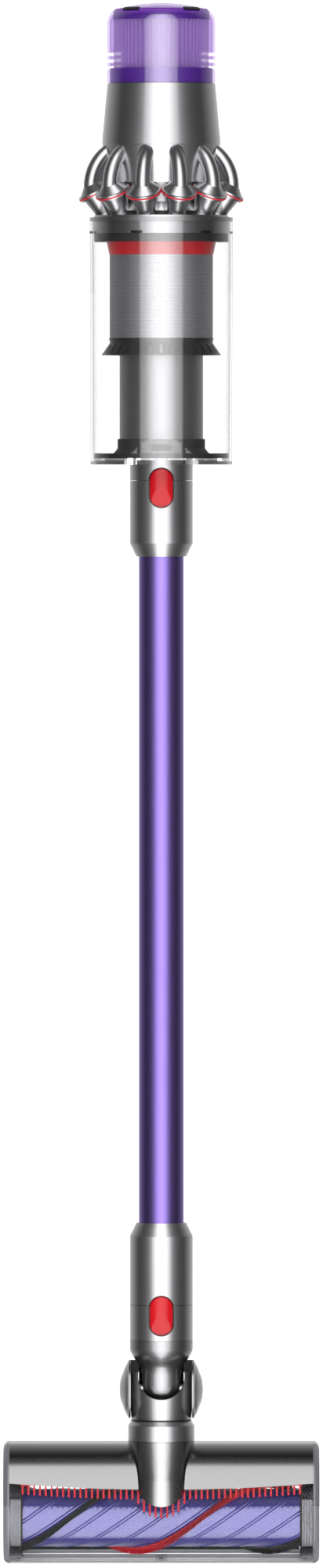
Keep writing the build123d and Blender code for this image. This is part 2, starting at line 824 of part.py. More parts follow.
lower_collar = turned(
    (socket_radius, head_seam),
    (collar_radius, head_seam),
    (collar_radius, tube_bottom - collar_chamfer),
    (collar_chamfer_radius, tube_bottom),
    (wand_radius + seat_gap, tube_bottom),
    (wand_radius + seat_gap, tube_bottom - wand_insertion),
    (duct_radius, tube_bottom - wand_insertion),
    (duct_radius, head_seam + socket_depth),
    (socket_radius, head_seam + socket_depth),
)
nodes["lower_collar"] = lower_collar - button_notch(head_seam, lower_button_tab)

# Neck: collar with the second button, and the tapered neck that turns in the elbow
neck_collar = turned(
    (duct_radius, neck_seam),
    (collar_radius, neck_seam),
    (collar_radius, head_seam - running_gap),
    (spigot_radius, head_seam - running_gap),
    (spigot_radius, head_seam + spigot_length),
    (duct_radius, head_seam + spigot_length),
)
nodes["neck_collar"] = neck_collar - button_pocket(head_seam, lower_button_tab)
nodes["head_button"] = release_button(head_seam, lower_button_tab)

taper_low = pivot_z + elbow_radius + 0.8
bowl_high = neck_seam - neck_band
neck_rim = neck_radius - 0.1
bulge = sqrt(0.5)
bowl_middle = (
    neck_bowl_radius + (neck_rim - neck_bowl_radius) * bulge, 0, bowl_high - (bowl_high - taper_low) * bulge)
bowl_outline = [
    Line((0, 0, taper_low), (neck_bowl_radius, 0, taper_low)),
    ThreePointArc((neck_bowl_radius, 0, taper_low), bowl_middle, (neck_rim, 0, bowl_high)),
    Line((neck_rim, 0, bowl_high), (neck_rim, 0, neck_seam)),
    Line((neck_rim, 0, neck_seam), (0, 0, neck_seam)),
    Line((0, 0, neck_seam), (0, 0, taper_low)),
]
yoke = revolve(make_face(bowl_outline), Axis.Z)
notch_z = pivot_z - elbow_notch_drop + elbow_notch_radius
cheek_top = pivot_z + elbow_cheek_rise
stem_low = cheek_top + neck_stem_rise
stem = rod(neck_bowl_radius, stem_low, taper_low + 0.5)
column_low = notch_z - neck_half_width
column = Pos(0, 0, column_low) * extrude(
    Ellipse(neck_half_width, neck_half_depth), stem_low + 0.5 - column_low)
rounded_foot = rod_y(neck_half_width, -40, 40, 0, notch_z) + block(-40, 40, -40, 40, notch_z, taper_low + 2)
barrel = rod_x(neck_barrel_radius, -drum_half_width, drum_half_width, 0, pivot_z)
yoke = yoke + stem + (column & rounded_foot) + barrel
yoke -= rod(neck_bore, pivot_z - elbow_radius, neck_seam + 1)
yoke -= turned(
    (0, neck_seam - neck_band),
    (neck_bore, neck_seam - neck_band),
    (duct_radius, neck_seam),
    (0, neck_seam),
)
pin_hole = pivot_pin_radius + shaft_clearance
yoke -= rod_x(pin_hole, -drum_half_width - 1, drum_half_width + 1, 0, pivot_z)
nodes["neck_yoke"] = yoke

# Elbow: cup with the U-shaped notch, side caps with the pivot pins, and the swivel collar
cup_swell = (pivot_rise ** 2 + (cup_radius - cup_foot_radius) ** 2) / (2 * (cup_radius - cup_foot_radius))
cup_top_radius = cup_radius - cup_swell + sqrt(cup_swell ** 2 - elbow_cheek_rise ** 2)
cup_outline = [
    Line((0, 0, elbow_bottom), (cup_foot_radius, 0, elbow_bottom)),
    ThreePointArc((cup_foot_radius, 0, elbow_bottom), (cup_radius, 0, pivot_z), (cup_top_radius, 0, cheek_top)),
    Line((cup_top_radius, 0, cheek_top), (0, 0, cheek_top)),
    Line((0, 0, cheek_top), (0, 0, elbow_bottom)),
]
cup_body = revolve(make_face(cup_outline), Axis.Z)
cheek_inner = drum_half_width + 0.5
cap_seat = elbow_radius - 0.5
for side in (-1, 1):
    inner, outer = sorted((side * cheek_inner, side * elbow_half_width))
    cup_body += rod_x(cap_seat, inner, outer, 0, pivot_z) & block(
        -40, 40, cheek_back, 40, elbow_bottom, pivot_z + 40)
    inner, outer = sorted((side * (elbow_half_width - cup_side_thickness), side * elbow_half_width))
    cup_body += rod_x(cap_seat - 0.6, inner, outer, 0, pivot_z)
cup_body -= rod_x(cup_cavity_radius, -cheek_inner, cheek_inner, 0, pivot_z)
cup_body -= block(-cheek_inner, cheek_inner, 0, 40, pivot_z + cup_back_rise, pivot_z + 40)
cup_body -= rod_y(elbow_notch_radius, -40, 0, 0, notch_z)
cup_body -= rod(elbow_bore, elbow_bottom - 1, pivot_z)
cup_body -= rod_x(pivot_pin_radius + seat_gap, -elbow_half_width - 1, elbow_half_width + 1, 0, pivot_z)
nodes["elbow_cup"] = cup_body

cap_outline = [
    (pivot_pin_inner, 0),
    (pivot_pin_inner, pivot_pin_radius),
    (elbow_half_width, pivot_pin_radius),
    (elbow_half_width, elbow_radius - 0.5),
    (elbow_half_width + pivot_cap_height * 0.04, elbow_radius - 0.5),
    (elbow_half_width + pivot_cap_height * 0.20, elbow_radius - 2.4),
    (elbow_half_width + pivot_cap_height * 0.20, elbow_radius - 3.0),
    (elbow_half_width + pivot_cap_height * 0.37, elbow_radius - 4.8),
    (elbow_half_width + pivot_cap_height * 0.37, elbow_radius - 5.4),
    (elbow_half_width + pivot_cap_height * 0.55, elbow_radius - 8.1),
    (elbow_half_width + pivot_cap_height * 0.55, elbow_radius - 8.8),
    (elbow_half_width + pivot_cap_height * 0.80, elbow_radius - 13.5),
    (elbow_half_width + pivot_cap_height * 0.93, elbow_radius - 17.5),
    (elbow_half_width + pivot_cap_height, 0),
]
right_cap = turned_x(cap_outline, 0, pivot_z)
left_cap = turned_x([(-x, r) for x, r in cap_outline], 0, pivot_z)
nodes["pivot_caps"] = Compound(children=[left_cap.solid(), right_cap.solid()])

spigot_low = swivel_seam - swivel_spigot_length
nodes["swivel_collar"] = turned(
    (swivel_bore, spigot_low),
    (swivel_spigot_radius + swivel_lip, spigot_low),
    (swivel_spigot_radius + swivel_lip, spigot_low + swivel_lip_height),
    (swivel_spigot_radius, spigot_low + swivel_lip_height),
    (swivel_spigot_radius, swivel_seam + running_gap),
    (swivel_collar_radius, swivel_seam + running_gap),
    (swivel_collar_radius, elbow_bottom - swivel_chamfer),
    (cup_foot_radius + 0.1, elbow_bottom),
    (swivel_bore, elbow_bottom),
)

# Cleaner head
roll_z = head_radius
roll_y = sole_offset - (head_height - head_radius)
rear_z = head_depth - head_radius
shell_half = head_half_width - head_end_thickness


def head_form(shrink, half):
    # Side outline of the head run along x: two round shoulders above, straight walls below.
    radius = head_radius - shrink
    lean = radius * sin(radians(45))
    front = (0, roll_y, roll_z - radius)
    front_top = (0, roll_y - radius, roll_z)
    rear_top = (0, roll_y - radius, rear_z)
    rear = (0, roll_y, rear_z + radius)
    edges = [
        Line((0, sole_offset, roll_z - radius), front),
        ThreePointArc(front, (0, roll_y - lean, roll_z - lean), front_top),
        Line(front_top, rear_top),
        ThreePointArc(rear_top, (0, roll_y - lean, rear_z + lean), rear),
        Line(rear, (0, sole_offset, rear_z + radius)),
        Line((0, sole_offset, rear_z + radius), (0, sole_offset, roll_z - radius)),
    ]
    return Pos(-half, 0, 0) * extrude(make_face(edges), 2 * half, dir=(1, 0, 0))


edge_dip = shell_edge_side - shell_edge_middle
edge_radius = (shell_half ** 2 + edge_dip ** 2) / (2 * edge_dip)
edge_centre = shell_edge_middle + edge_radius


def shell_edge(x):
    return edge_centre - sqrt(edge_radius ** 2 - x ** 2)


sole_inner = sole_offset - sole_thickness
housing_side = rod_y(edge_radius, -100, 100, 0, edge_centre)
head_outer = head_form(0, shell_half)
head_inner = head_form(head_wall, shell_half + 1)
skin = head_outer - head_inner
nose_top = nose_tip + nose_radius
nose = loft([
    Pos(0, 0, swivel_seam) * Circle(swivel_collar_radius),
    Pos(0, -nose_rise, nose_top) * Circle(nose_radius),
])
# Below its last circle the nose runs straight down and ends in a round tongue.
nose += Pos(0, -nose_rise, 0) * rod(nose_radius, nose_tip, nose_top) & rod_y(nose_radius, -100, 100, 0, nose_top)
above_sole = block(-200, 200, -200, sole_inner, -50, swivel_seam)
shell = ((skin & housing_side) + nose) - head_inner
wall_low = sole_opening_rear + 0.5
comb_high = wall_low + 1
comb_low = comb_high - comb_back_depth
comb_y = roll_y - sqrt((head_radius - head_wall) ** 2 - (comb_high - rear_z) ** 2) + 0.15
chamber_wall = block(
    -shell_half, shell_half, comb_y + comb_thickness + 0.2, sole_inner,
    wall_low, wall_low + chamber_wall_thickness)
neck_socket = rod(swivel_spigot_radius + 4, comb_high + 0.2, swivel_seam)
shell = (shell + chamber_wall + neck_socket) & above_sole
shell -= rod(swivel_spigot_radius + shaft_clearance, spigot_low - running_gap, swivel_seam + 1)
shell -= rod(
    swivel_spigot_radius + swivel_lip + running_gap, spigot_low - running_gap,
    spigot_low + swivel_lip_height + running_gap)
shell -= rod(swivel_bore, wall_low - 1, swivel_seam)
nodes["head_shell"] = shell

window_low = sole_offset - front_strip_depth
window = (skin - housing_side - nose) & block(-200, 200, -200, window_low, -50, swivel_seam)
rib_ring = turned_x([
    (0, head_radius - head_wall - window_rib_depth),
    (window_rib_thickness, head_radius - head_wall - window_rib_depth),
    (window_rib_thickness, head_radius - head_wall + 0.5),
    (0, head_radius - head_wall + 0.5),
], roll_y, roll_z)
rib_ring &= block(-10, 10, -200, roll_y, -50, roll_z + 8)
for i in range(window_rib_count):
    rib_x = shell_half - window_rib_pitch * (i + 0.5)
    window += Pos(rib_x - window_rib_thickness, 0, 0) * rib_ring
    window += Pos(-rib_x, 0, 0) * rib_ring
nodes["head_window"] = window


def end_cap(side):
    # End plate of the head with a rounded outer edge.
    plate = head_form(0, head_half_width) & block(
        min(side * shell_half, side * 300), max(side * shell_half, side * 300), -200, 200, -50, 200)
    rim = plate.faces().sort_by(Axis.X)[-1 if side > 0 else 0].edges()
    return fillet(rim, head_end_round)


stub_tip = brush_half_length - brush_hub_thickness
nodes["end_cap_left"] = end_cap(-1)
nodes["end_cap_right"] = end_cap(1) + rod_x(stub_radius, stub_tip, shell_half + 1, roll_y, roll_z)

sole = block(-shell_half, shell_half, sole_inner, sole_offset, 0, head_depth)
opening_half = brush_half_length + 1
sole -= block(
    -opening_half, opening_half, sole_inner - 1, sole_offset + 1, sole_opening_front, sole_opening_rear)
sole += block(-shell_half, shell_half, window_low, sole_inner, 0, front_strip_height)
wheel_z = head_depth - wheel_from_rear
wheel_y = sole_offset - wheel_radius - 0.2
wheel_gap = wheel_width / 2 + running_gap
bracket_outer = wheel_gap + wheel_bracket_width
for side in (-1, 1):
    middle = side * wheel_offset
    sole -= block(
        middle - wheel_gap, middle + wheel_gap, sole_inner - 1, sole_offset + 1,
        wheel_z - wheel_radius - 1, wheel_z + wheel_radius + 1)
    for x0, x1 in ((-bracket_outer, -wheel_gap), (wheel_gap, bracket_outer)):
        sole += block(middle + x0, middle + x1, wheel_y - 4, sole_inner, wheel_z - 4, wheel_z + 4)
    sole -= rod_x(
        wheel_axle_radius + shaft_clearance, middle - bracket_outer - 1, middle + bracket_outer + 1,
        wheel_y, wheel_z)
nodes["sole_plate"] = sole
for name, side in (("wheel_left", -1), ("wheel_right", 1)):
    middle = side * wheel_offset
    wheel = rod_x(wheel_radius, middle - wheel_width / 2, middle + wheel_width / 2, wheel_y, wheel_z)
    nodes[name] = wheel + rod_x(
        wheel_axle_radius, middle - bracket_outer, middle + bracket_outer, wheel_y, wheel_z)

comb_half = comb_pitch * (comb_teeth - 1) / 2 + 2
comb = block(-comb_half, comb_half, comb_y, comb_y + comb_thickness, comb_low, comb_high)
teeth = []
for i in range(comb_teeth):
    x = comb_pitch * (i - (comb_teeth - 1) / 2)
    tip = shell_edge(x) - comb_tooth_reach
    if abs(x) < nose_radius - 1:
        tip = min(tip, nose_top - sqrt(nose_radius ** 2 - x ** 2) - comb_nose_reach)
    teeth.append(block(
        x - comb_tooth_width / 2, x + comb_tooth_width / 2, comb_y, comb_y + comb_thickness,
        tip, comb_low + 1))
nodes["comb"] = fused(comb, teeth)

# Brush bar: fluted core, two bristle strips that wind along it, hubs, and the motor inside
flute_points = []
for i in range(brush_flutes * 2):
    reach = brush_core_radius - (brush_flute_depth if i % 2 else 0)
    turn = radians(360 / (brush_flutes * 2) * i)
    flute_points.append((reach * cos(turn), reach * sin(turn)))
flute_section = make_face(Spline(*flute_points, periodic=True))
brush_length = 2 * brush_half_length
brush_turn = -360 * brush_length / brush_lead
along_brush = Pos(-brush_half_length, roll_y, roll_z) * Rot(0, 90, 0)
core = Solid.extrude_linear_with_rotation(flute_section.face(), (0, 0, 0), (0, 0, brush_length), brush_turn)
strip_root = brush_core_radius + running_gap
nodes["brush_core"] = along_brush * (Part(core.wrapped) - rod(brush_core_bore, -1, brush_length + 1))


def bristle_strip(start):
    # Winding foot with two rows of four-sided bristles standing on it.
    foot_section = Rot(0, 0, start) * Pos(strip_root + bristle_base_height / 2, 0) * Rectangle(
        bristle_base_height, bristle_width)
    foot = Part(Solid.extrude_linear_with_rotation(
        foot_section.face(), (0, 0, 0), (0, 0, brush_length), brush_turn).wrapped)
    tip = brush_core_radius + bristle_height
    root = strip_root + bristle_base_height * 0.5
    strands = []
    for row in range(bristle_rows):
        across = (row - (bristle_rows - 1) / 2) * bristle_width / bristle_rows
        for i in range(bristles_per_row):
            z = brush_length * (i + 0.5) / bristles_per_row
            turn = start + brush_turn * z / brush_length
            strands.append(Pos(0, 0, z) * Rot(0, 0, turn) * Pos((root + tip) / 2, across, 0) * Box(
                tip - root, bristle_side, bristle_side))
    return along_brush * foot.fuse(*strands)


# The red strip faces the front at red_strip_crossing, and the black one half a turn away from it.
red_start = 360 * (red_strip_crossing + brush_half_length) / brush_lead - 90
nodes["brush_red_strip"] = bristle_strip(red_start)
nodes["brush_black_strip"] = bristle_strip(red_start + 180)

motor_end = -shell_half + brush_motor_length
nodes["brush_motor"] = rod_x(brush_motor_radius, -shell_half, motor_end, roll_y, roll_z) - rod_x(
    brush_shaft_radius + shaft_clearance, motor_end - 10, motor_end + 1, roll_y, roll_z)
hub_fit = brush_core_bore - seat_gap
drive_hub = rod_x(hub_fit, motor_end + 1, motor_end + 1 + brush_hub_thickness, roll_y, roll_z) + rod_x(
    brush_shaft_radius, motor_end - 9, motor_end + 2, roll_y, roll_z)
end_hub = rod_x(hub_fit, stub_tip, brush_half_length, roll_y, roll_z) - rod_x(
    stub_radius + shaft_clearance, stub_tip - 1, brush_half_length + 1, roll_y, roll_z)
nodes["brush_hubs"] = Compound(children=[drive_hub.solid(), end_hub.solid()])

# Handle in two halves, with the trigger, control board and screws
handle_end = handle_start + handle_length
handle_z = seat_z


def handle_section(share_along, half_width, half_height, shrink):
    y = handle_start + handle_length * share_along
    upright = Plane(origin=(0, y, handle_z), x_dir=(1, 0, 0), z_dir=(0, 1, 0))
    return upright * Ellipse(half_width - shrink, half_height - shrink)


def handle_form(shrink):
    return loft([
        handle_section(0, handle_half_width + 2, handle_half_height + 1, shrink),
        handle_section(0.26, handle_half_width, handle_half_height, shrink),
        handle_section(0.63, handle_half_width + 1, handle_half_height + 1, shrink),
        handle_section(1, handle_half_width + 5, handle_half_height + 2.5, shrink),
    ])


handle_outer = handle_form(0)
handle = handle_outer - handle_form(handle_wall)
screw_spots = [
    (handle_start + handle_length * 0.47, handle_z - handle_half_height * 0.55),
    (handle_start + handle_length * 0.85, handle_z - handle_half_height * 0.55),
    (handle_start + handle_length * 0.10, handle_z + handle_half_height * 0.62),
]
screw_head_x = handle_half_width * 0.45
for y, z in screw_spots:
    handle += rod_x(handle_boss_radius, -40, 40, y, z) & handle_outer
board_z = handle_z + handle_half_height * 0.25
board_start = handle_start + handle_length * 0.26
for side in (-1, 1):
    for share_along in (0.15, 0.8):
        ledge_y = board_start + board_length * share_along
        ledge = Pos(side * (board_half_width + 8.5), ledge_y, board_z - board_ledge / 2) * Box(
            20, board_ledge, board_ledge)
        handle += ledge & handle_outer
for y, z in screw_spots:
    handle -= rod_x(handle_screw_radius + seat_gap, -screw_head_x, 40, y, z)
    handle -= rod_x(handle_screw_head + 0.2, screw_head_x, 40, y, z)
trigger_front = handle_start + trigger_from_body
trigger_rear = trigger_front + trigger_length
slot_half = trigger_width / 2 + running_gap
grip_bottom = handle_z - handle_half_height
trigger_slot = block(
    -slot_half, slot_half, trigger_front - running_gap, trigger_rear + running_gap,
    grip_bottom - 5, handle_z - 8)
handle -= trigger_slot
nodes["handle_left"] = handle & block(-60, 0, 0, 300, handle_z - 60, handle_z + 60)
nodes["handle_right"] = handle & block(0, 60, 0, 300, handle_z - 60, handle_z + 60)
screws = []
for y, z in screw_spots:
    screw = rod_x(handle_screw_radius, -screw_head_x + 0.5, screw_head_x + 0.5, y, z)
    screw += rod_x(handle_screw_head, screw_head_x, screw_head_x + handle_screw_head_height, y, z)
    screws.append(screw.solid())
nodes["handle_screws"] = Compound(children=screws)

nodes["control_board"] = block(
    -board_half_width, board_half_width, board_start, board_start + board_length,
    board_z, board_z + board_thickness)

trigger_top = grip_bottom + handle_wall + 3
trigger_low = grip_bottom - trigger_drop
trigger_edges = [
    Line((0, trigger_front, trigger_top), (0, trigger_rear, trigger_top)),
    Line((0, trigger_rear, trigger_top), (0, trigger_rear, grip_bottom - 3)),
    ThreePointArc(
        (0, trigger_rear, grip_bottom - 3),
        (0, trigger_front + trigger_length * 0.55, grip_bottom - trigger_drop * 0.5),
        (0, trigger_front + 2, trigger_low)),
    Line((0, trigger_front + 2, trigger_low), (0, trigger_front, trigger_low + 3)),
    Line((0, trigger_front, trigger_low + 3), (0, trigger_front, trigger_top)),
]
trigger = extrude(make_face(trigger_edges), trigger_width, dir=(1, 0, 0))
nodes["trigger"] = Pos(-trigger_width / 2, 0, 0) * trigger

# Battery pack at the end of the handle
battery_high = handle_z + battery_above_handle
battery_low = battery_high - battery_length
battery_y = handle_end + battery_depth / 2


def battery_form(shrink, low, high):
    outline = RectangleRounded(
        battery_width - 2 * shrink, battery_depth - 2 * shrink, battery_round - shrink)
    return Pos(0, battery_y, low) * extrude(outline, high - low)


case_low = battery_low + battery_base_thickness
case = battery_form(0, case_low, battery_high)
case = fillet(case.edges().group_by(Axis.Z)[-1], 4)
nodes["battery_case"] = case - battery_form(battery_wall, case_low - 1, battery_high - battery_wall - 2)
charge_y = battery_y + charge_slot_offset
charge_slot = block(
    -charge_slot_width / 2, charge_slot_width / 2, charge_y - charge_slot_depth / 2,
    charge_y + charge_slot_depth / 2, battery_low - 1, case_low + 1)
nodes["battery_base"] = battery_form(0, battery_low, case_low) - charge_slot
cells = []
for layer in range(2):
    for i, j in ((-1, -1), (-1, 1), (1, -1), (1, 1)):
        if layer == 1 and (i, j) == (1, 1):
            continue
        low = case_low + 0.2 + layer * (cell_length + 0.4)
        cell = rod(cell_radius, low, low + cell_length)
        cell_place = Pos(i * cell_spacing / 2, battery_y + j * cell_spacing / 2, 0)
        cells.append((cell_place * cell).solid())
nodes["battery_cells"] = Compound(children=cells)

# Everything moves to the dock face, the flat underside of the battery base
to_dock = Pos(0, -battery_y, -battery_low)
os.makedirs("parts", exist_ok=True)
for name, shape in nodes.items():
    export_step(to_dock * shape, f"parts/{name}.step")
print("dock at y", round(battery_y, 3), "z", round(battery_low, 3), "height", round(total_height, 3))
print("nodes", len(nodes))
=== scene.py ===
import math
import random

import bmesh
import bpy
from mathutils import Matrix, Vector


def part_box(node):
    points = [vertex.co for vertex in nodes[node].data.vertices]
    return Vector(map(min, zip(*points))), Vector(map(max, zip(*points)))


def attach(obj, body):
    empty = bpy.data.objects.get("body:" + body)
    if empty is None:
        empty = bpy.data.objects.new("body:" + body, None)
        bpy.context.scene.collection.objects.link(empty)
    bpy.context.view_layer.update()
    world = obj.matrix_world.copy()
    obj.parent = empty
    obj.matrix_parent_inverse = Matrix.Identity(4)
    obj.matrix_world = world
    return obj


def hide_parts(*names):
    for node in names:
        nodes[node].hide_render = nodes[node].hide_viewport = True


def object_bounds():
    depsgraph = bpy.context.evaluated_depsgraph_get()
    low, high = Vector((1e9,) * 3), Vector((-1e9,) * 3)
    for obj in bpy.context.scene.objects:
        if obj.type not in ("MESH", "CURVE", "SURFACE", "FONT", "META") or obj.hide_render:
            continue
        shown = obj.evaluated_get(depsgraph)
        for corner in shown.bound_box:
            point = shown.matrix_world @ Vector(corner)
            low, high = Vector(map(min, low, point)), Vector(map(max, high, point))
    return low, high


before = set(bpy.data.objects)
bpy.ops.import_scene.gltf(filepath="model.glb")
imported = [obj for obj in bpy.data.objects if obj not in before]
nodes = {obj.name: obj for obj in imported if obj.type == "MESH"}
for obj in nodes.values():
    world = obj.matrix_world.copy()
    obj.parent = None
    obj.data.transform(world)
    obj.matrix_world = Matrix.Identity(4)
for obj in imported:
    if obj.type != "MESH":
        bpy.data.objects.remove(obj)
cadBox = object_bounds()
scene = bpy.context.scene
mm = 0.001
hair = 0.000001  # less than this counts as touching
axisY = -0.172  # the wand's axis, behind which the battery hangs
pivotLevel = -879.3  # the elbow's pivot, in millimetres
print("frame loaded:", len(nodes), "nodes")


class Wire:
    # a shader socket; sums and products of wires add Math nodes to their tree

    def __init__(self, tree, socket):
        self.tree = tree
        self.socket = socket

    def calc(self, operation, *values):
        node = self.tree.nodes.new("ShaderNodeMath")
        node.operation = operation
        plug(self.tree, node, dict(enumerate(values)))
        return Wire(self.tree, node.outputs[0])

    def __add__(self, other):
        return self.calc("ADD", self, other)

    def __radd__(self, other):
        return self.calc("ADD", other, self)

    def __sub__(self, other):
        return self.calc("SUBTRACT", self, other)

    def __rsub__(self, other):
        return self.calc("SUBTRACT", other, self)

    def __mul__(self, other):
        return self.calc("MULTIPLY", self, other)

    def __truediv__(self, other):
        return self.calc("DIVIDE", self, other)

    def __gt__(self, other):
        return self.calc("GREATER_THAN", self, other)

    def __lt__(self, other):
        return self.calc("LESS_THAN", self, other)


def plug(tree, node, sockets):
    for name, value in sockets.items():
        if isinstance(value, Wire):
            tree.links.new(value.socket, node.inputs[name])
        else:
            node.inputs[name].default_value = value


class Finish:
    # one material: constants go straight on the shader, patterns come from add()

    def __init__(self, name, **constants):
        self.material = bpy.data.materials.new(name)
        self.material.use_nodes = True
        self.tree = self.material.node_tree
        self.shader = self.tree.nodes["Principled BSDF"]
        for socket, value in constants.items():
            self.shader.inputs[socket.replace("_", " ")].default_value = value

    @classmethod
    def onTree(cls, tree):
        tools = cls.__new__(cls)
        tools.tree = tree
        return tools

    def add(self, kind, settings, sockets, output=0):
        node = self.tree.nodes.new("ShaderNode" + kind)
        for key, value in settings.items():
            if key == "stops":
                stops(node.color_ramp, value)
            else:
                setattr(node, key, value)
        plug(self.tree, node, sockets)
        return Wire(self.tree, node.outputs[output])

    def place(self):
        return self.add("TexCoord", {}, {}, "Object")

    def along(self, axis):
        return self.add("SeparateXYZ", {}, {0: self.place()}, "XYZ".index(axis))

    def noise(self, scale, detail=3.0, stretch=(1, 1, 1)):
        spot = self.add("Mapping", {}, {"Vector": self.place(), "Scale": stretch})
        return self.add("TexNoise", {}, {"Vector": spot, "Scale": scale, "Detail": detail})

    def blend(self, share, first, second):
        return self.add("Mix", {"data_type": "RGBA"}, {0: share, 6: first, 7: second}, 2)

    def bump(self, height, strength, distance):
        normal = self.add("Bump", {}, {"Height": height, "Strength": strength, "Distance": distance})
        self.feed(Normal=normal)

    def feed(self, **wires):
        for socket, wire in wires.items():
            self.tree.links.new(wire.socket, self.shader.inputs[socket.replace("_", " ")])


def stops(ramp, marks):
    while len(ramp.elements) < len(marks):
        ramp.elements.new(0.5)
    for element, (position, colour) in zip(ramp.elements, marks):
        element.position = position
        element.color = colour


def grey(value):
    return (value, value, value, 1)


# light tent: a tall bright panel behind the camera, dark strips beside it, pale cloth behind the cleaner
tent = {
    "strength": 2.0,
    # brightness round the tent, from straight behind the cleaner (0) to straight behind the camera (1)
    "panel": [
        (0.0, grey(0.04)), (0.5, grey(0.03)), (0.75, grey(0.05)), (0.900, grey(0.12)),
        (0.914, grey(0.62)), (0.95, grey(0.85)), (1.0, grey(1.6)),
    ],
    "panelTop": 0.86,
    "panelFade": 0.95,
    "overhead": 0.06,
    "underfoot": -0.9,
    "clothFrom": 0.05,
    "cloth": 0.34,
    "backdrop": 1.7,
}


def makeTent():
    world = bpy.data.worlds.new("tent")
    scene.world = world
    world.use_nodes = True
    tools = Finish.onTree(world.node_tree)
    direction = tools.add("TexCoord", {}, {}, "Generated")
    x, y, z = (tools.add("SeparateXYZ", {}, {0: direction}, axis) for axis in "XYZ")
    flat = x * x + y * y + 0.0001
    facing = (1 - y / flat.calc("SQRT", flat)) * 0.5
    panel = tools.add("ValToRGB", {"stops": tent["panel"]}, {"Fac": facing})
    tall = tools.add("MapRange", {"interpolation_type": "SMOOTHSTEP"}, {
        "Value": z.calc("MAXIMUM", z, z * tent["underfoot"]), "From Min": tent["panelTop"],
        "From Max": tent["panelFade"], "To Min": 1.0, "To Max": tent["overhead"]})
    cloth = tools.add("MapRange", {}, {
        "Value": y, "From Min": tent["clothFrom"], "From Max": 1.0, "To Min": 0.0, "To Max": tent["cloth"]})
    lamp = tools.add("Background", {}, {"Color": panel * tall + cloth, "Strength": tent["strength"]})
    plain = tools.add("Background", {}, {"Color": grey(1), "Strength": tent["backdrop"]})
    seen = tools.add("LightPath", {}, {}, "Is Camera Ray")
    mixed = tools.add("MixShader", {}, {0: seen, 1: lamp, 2: plain})
    tools.tree.links.new(mixed.socket, tools.tree.nodes["World Output"].inputs["Surface"])


makeTent()

# soft lamps behind the cleaner, kept out of mirrors so that the satin metal shows only the tent
rearLamps = {"at": [(1.6, 1.9, 1.2), (-1.8, 1.5, 0.4)], "size": 1.6, "power": 60.0, "aim": (0, -0.1, -0.2)}


def makeRearLamps():
    for index, spot in enumerate(rearLamps["at"]):
        light = bpy.data.lights.new("rearLamp%d" % index, "AREA")
        light.size = rearLamps["size"]
        light.energy = rearLamps["power"]
        lamp = bpy.data.objects.new("rearLamp%d" % index, light)
        lamp.location = spot
        lamp.rotation_euler = (Vector(rearLamps["aim"]) - lamp.location).to_track_quat("-Z", "Y").to_euler()
        lamp.visible_glossy = False
        lamp.visible_camera = False
        scene.collection.objects.link(lamp)


makeRearLamps()

# pale floor just under the wheels
floorPlan = {"radius": 0.8, "drop": 0.0006, "glow": 1.4, "sides": 96}


def makeFloor():
    bm = bmesh.new()
    bmesh.ops.create_circle(bm, cap_ends=True, segments=floorPlan["sides"], radius=floorPlan["radius"])
    bmesh.ops.translate(bm, verts=bm.verts, vec=(0, axisY, cadBox[0][2] - floorPlan["drop"]))
    mesh = bpy.data.meshes.new("floor")
    bm.to_mesh(mesh)
    bm.free()
    floor = bpy.data.objects.new("floor", mesh)
    scene.collection.objects.link(floor)
    paper = Finish("paleFloor", Roughness=0.9, Specular_IOR_Level=0.1)
    patch = paper.noise(3.0)
    pale = paper.blend(patch, (0.90, 0.90, 0.90, 1), (0.93, 0.93, 0.93, 1))
    paper.feed(Base_Color=pale, Emission_Color=pale)
    paper.shader.inputs["Emission Strength"].default_value = floorPlan["glow"]
    # mirrors look through the floor at the lower half of the tent
    seen = paper.add("LightPath", {}, {}, "Is Camera Ray")
    through = paper.add("BsdfTransparent", {}, {})
    sheet = Wire(paper.tree, paper.shader.outputs[0])
    both = paper.add("MixShader", {}, {0: seen, 1: through, 2: sheet})
    paper.tree.links.new(both.socket, paper.tree.nodes["Material Output"].inputs["Surface"])
    mesh.materials.append(paper.material)


makeFloor()

# long lens a little above the middle of the cleaner, tall enough for its full height
shot = {"back": 14.0, "height": -0.1445, "across": 0.00016, "aim": -0.3948, "tall": 1.2542}


def makeCamera():
    lens = bpy.data.cameras.new("camera")
    lens.sensor_fit = "VERTICAL"
    lens.angle = 2 * math.atan(shot["tall"] / 2 / shot["back"])
    lens.clip_end = 200
    camera = bpy.data.objects.new("camera", lens)
    camera.location = (0, axisY - shot["back"], shot["height"])
    aim = Vector((shot["across"], axisY, shot["aim"]))
    camera.rotation_euler = (aim - camera.location).to_track_quat("-Z", "Y").to_euler()
    scene.collection.objects.link(camera)
    scene.camera = camera


makeCamera()
scene.view_settings.view_transform = "Standard"
print("studio ready")


# finishes


def satinNickel(name, tone, rough, lacquer=1.0):
    # satin metal under a clear lacquer that mirrors the panel's edges
    finish = Finish(name, Metallic=1.0, Coat_Weight=lacquer, Coat_IOR=1.8, Coat_Roughness=0.06)
    cloud = finish.noise(38, 4)
    grain = finish.noise(2600, 2)
    darker = (tone * 0.97, tone * 0.96, tone, 1)
    lighter = (tone * 1.03, tone * 1.02, tone * 1.05, 1)
    finish.feed(
        Base_Color=finish.blend(cloud, darker, lighter),
        Roughness=rough + (grain - 0.5) * 0.10 + (cloud - 0.5) * 0.05)
    return finish.material


def headNickelPaintedShade(name, shadedFaceTone, noseTone, noseWidth, rough):
    # painted shade: the long housing mirrors the panel square on, so its flat face is painted a darker tone
    # than the rounded nose to dim that reflection
    finish = Finish(name, Metallic=1.0, Coat_Weight=0.6, Coat_IOR=1.8, Coat_Roughness=0.06)
    across = finish.along("X")
    nose = across.calc("ABSOLUTE", across) < noseWidth * mm
    grain = finish.noise(2600, 2)
    # painted shade: outside the nose's width the face gets the darker face tone
    finish.feed(
        Base_Color=finish.blend(nose, grey(shadedFaceTone), grey(noseTone)),
        Roughness=rough + (grain - 0.5) * 0.10)
    return finish.material
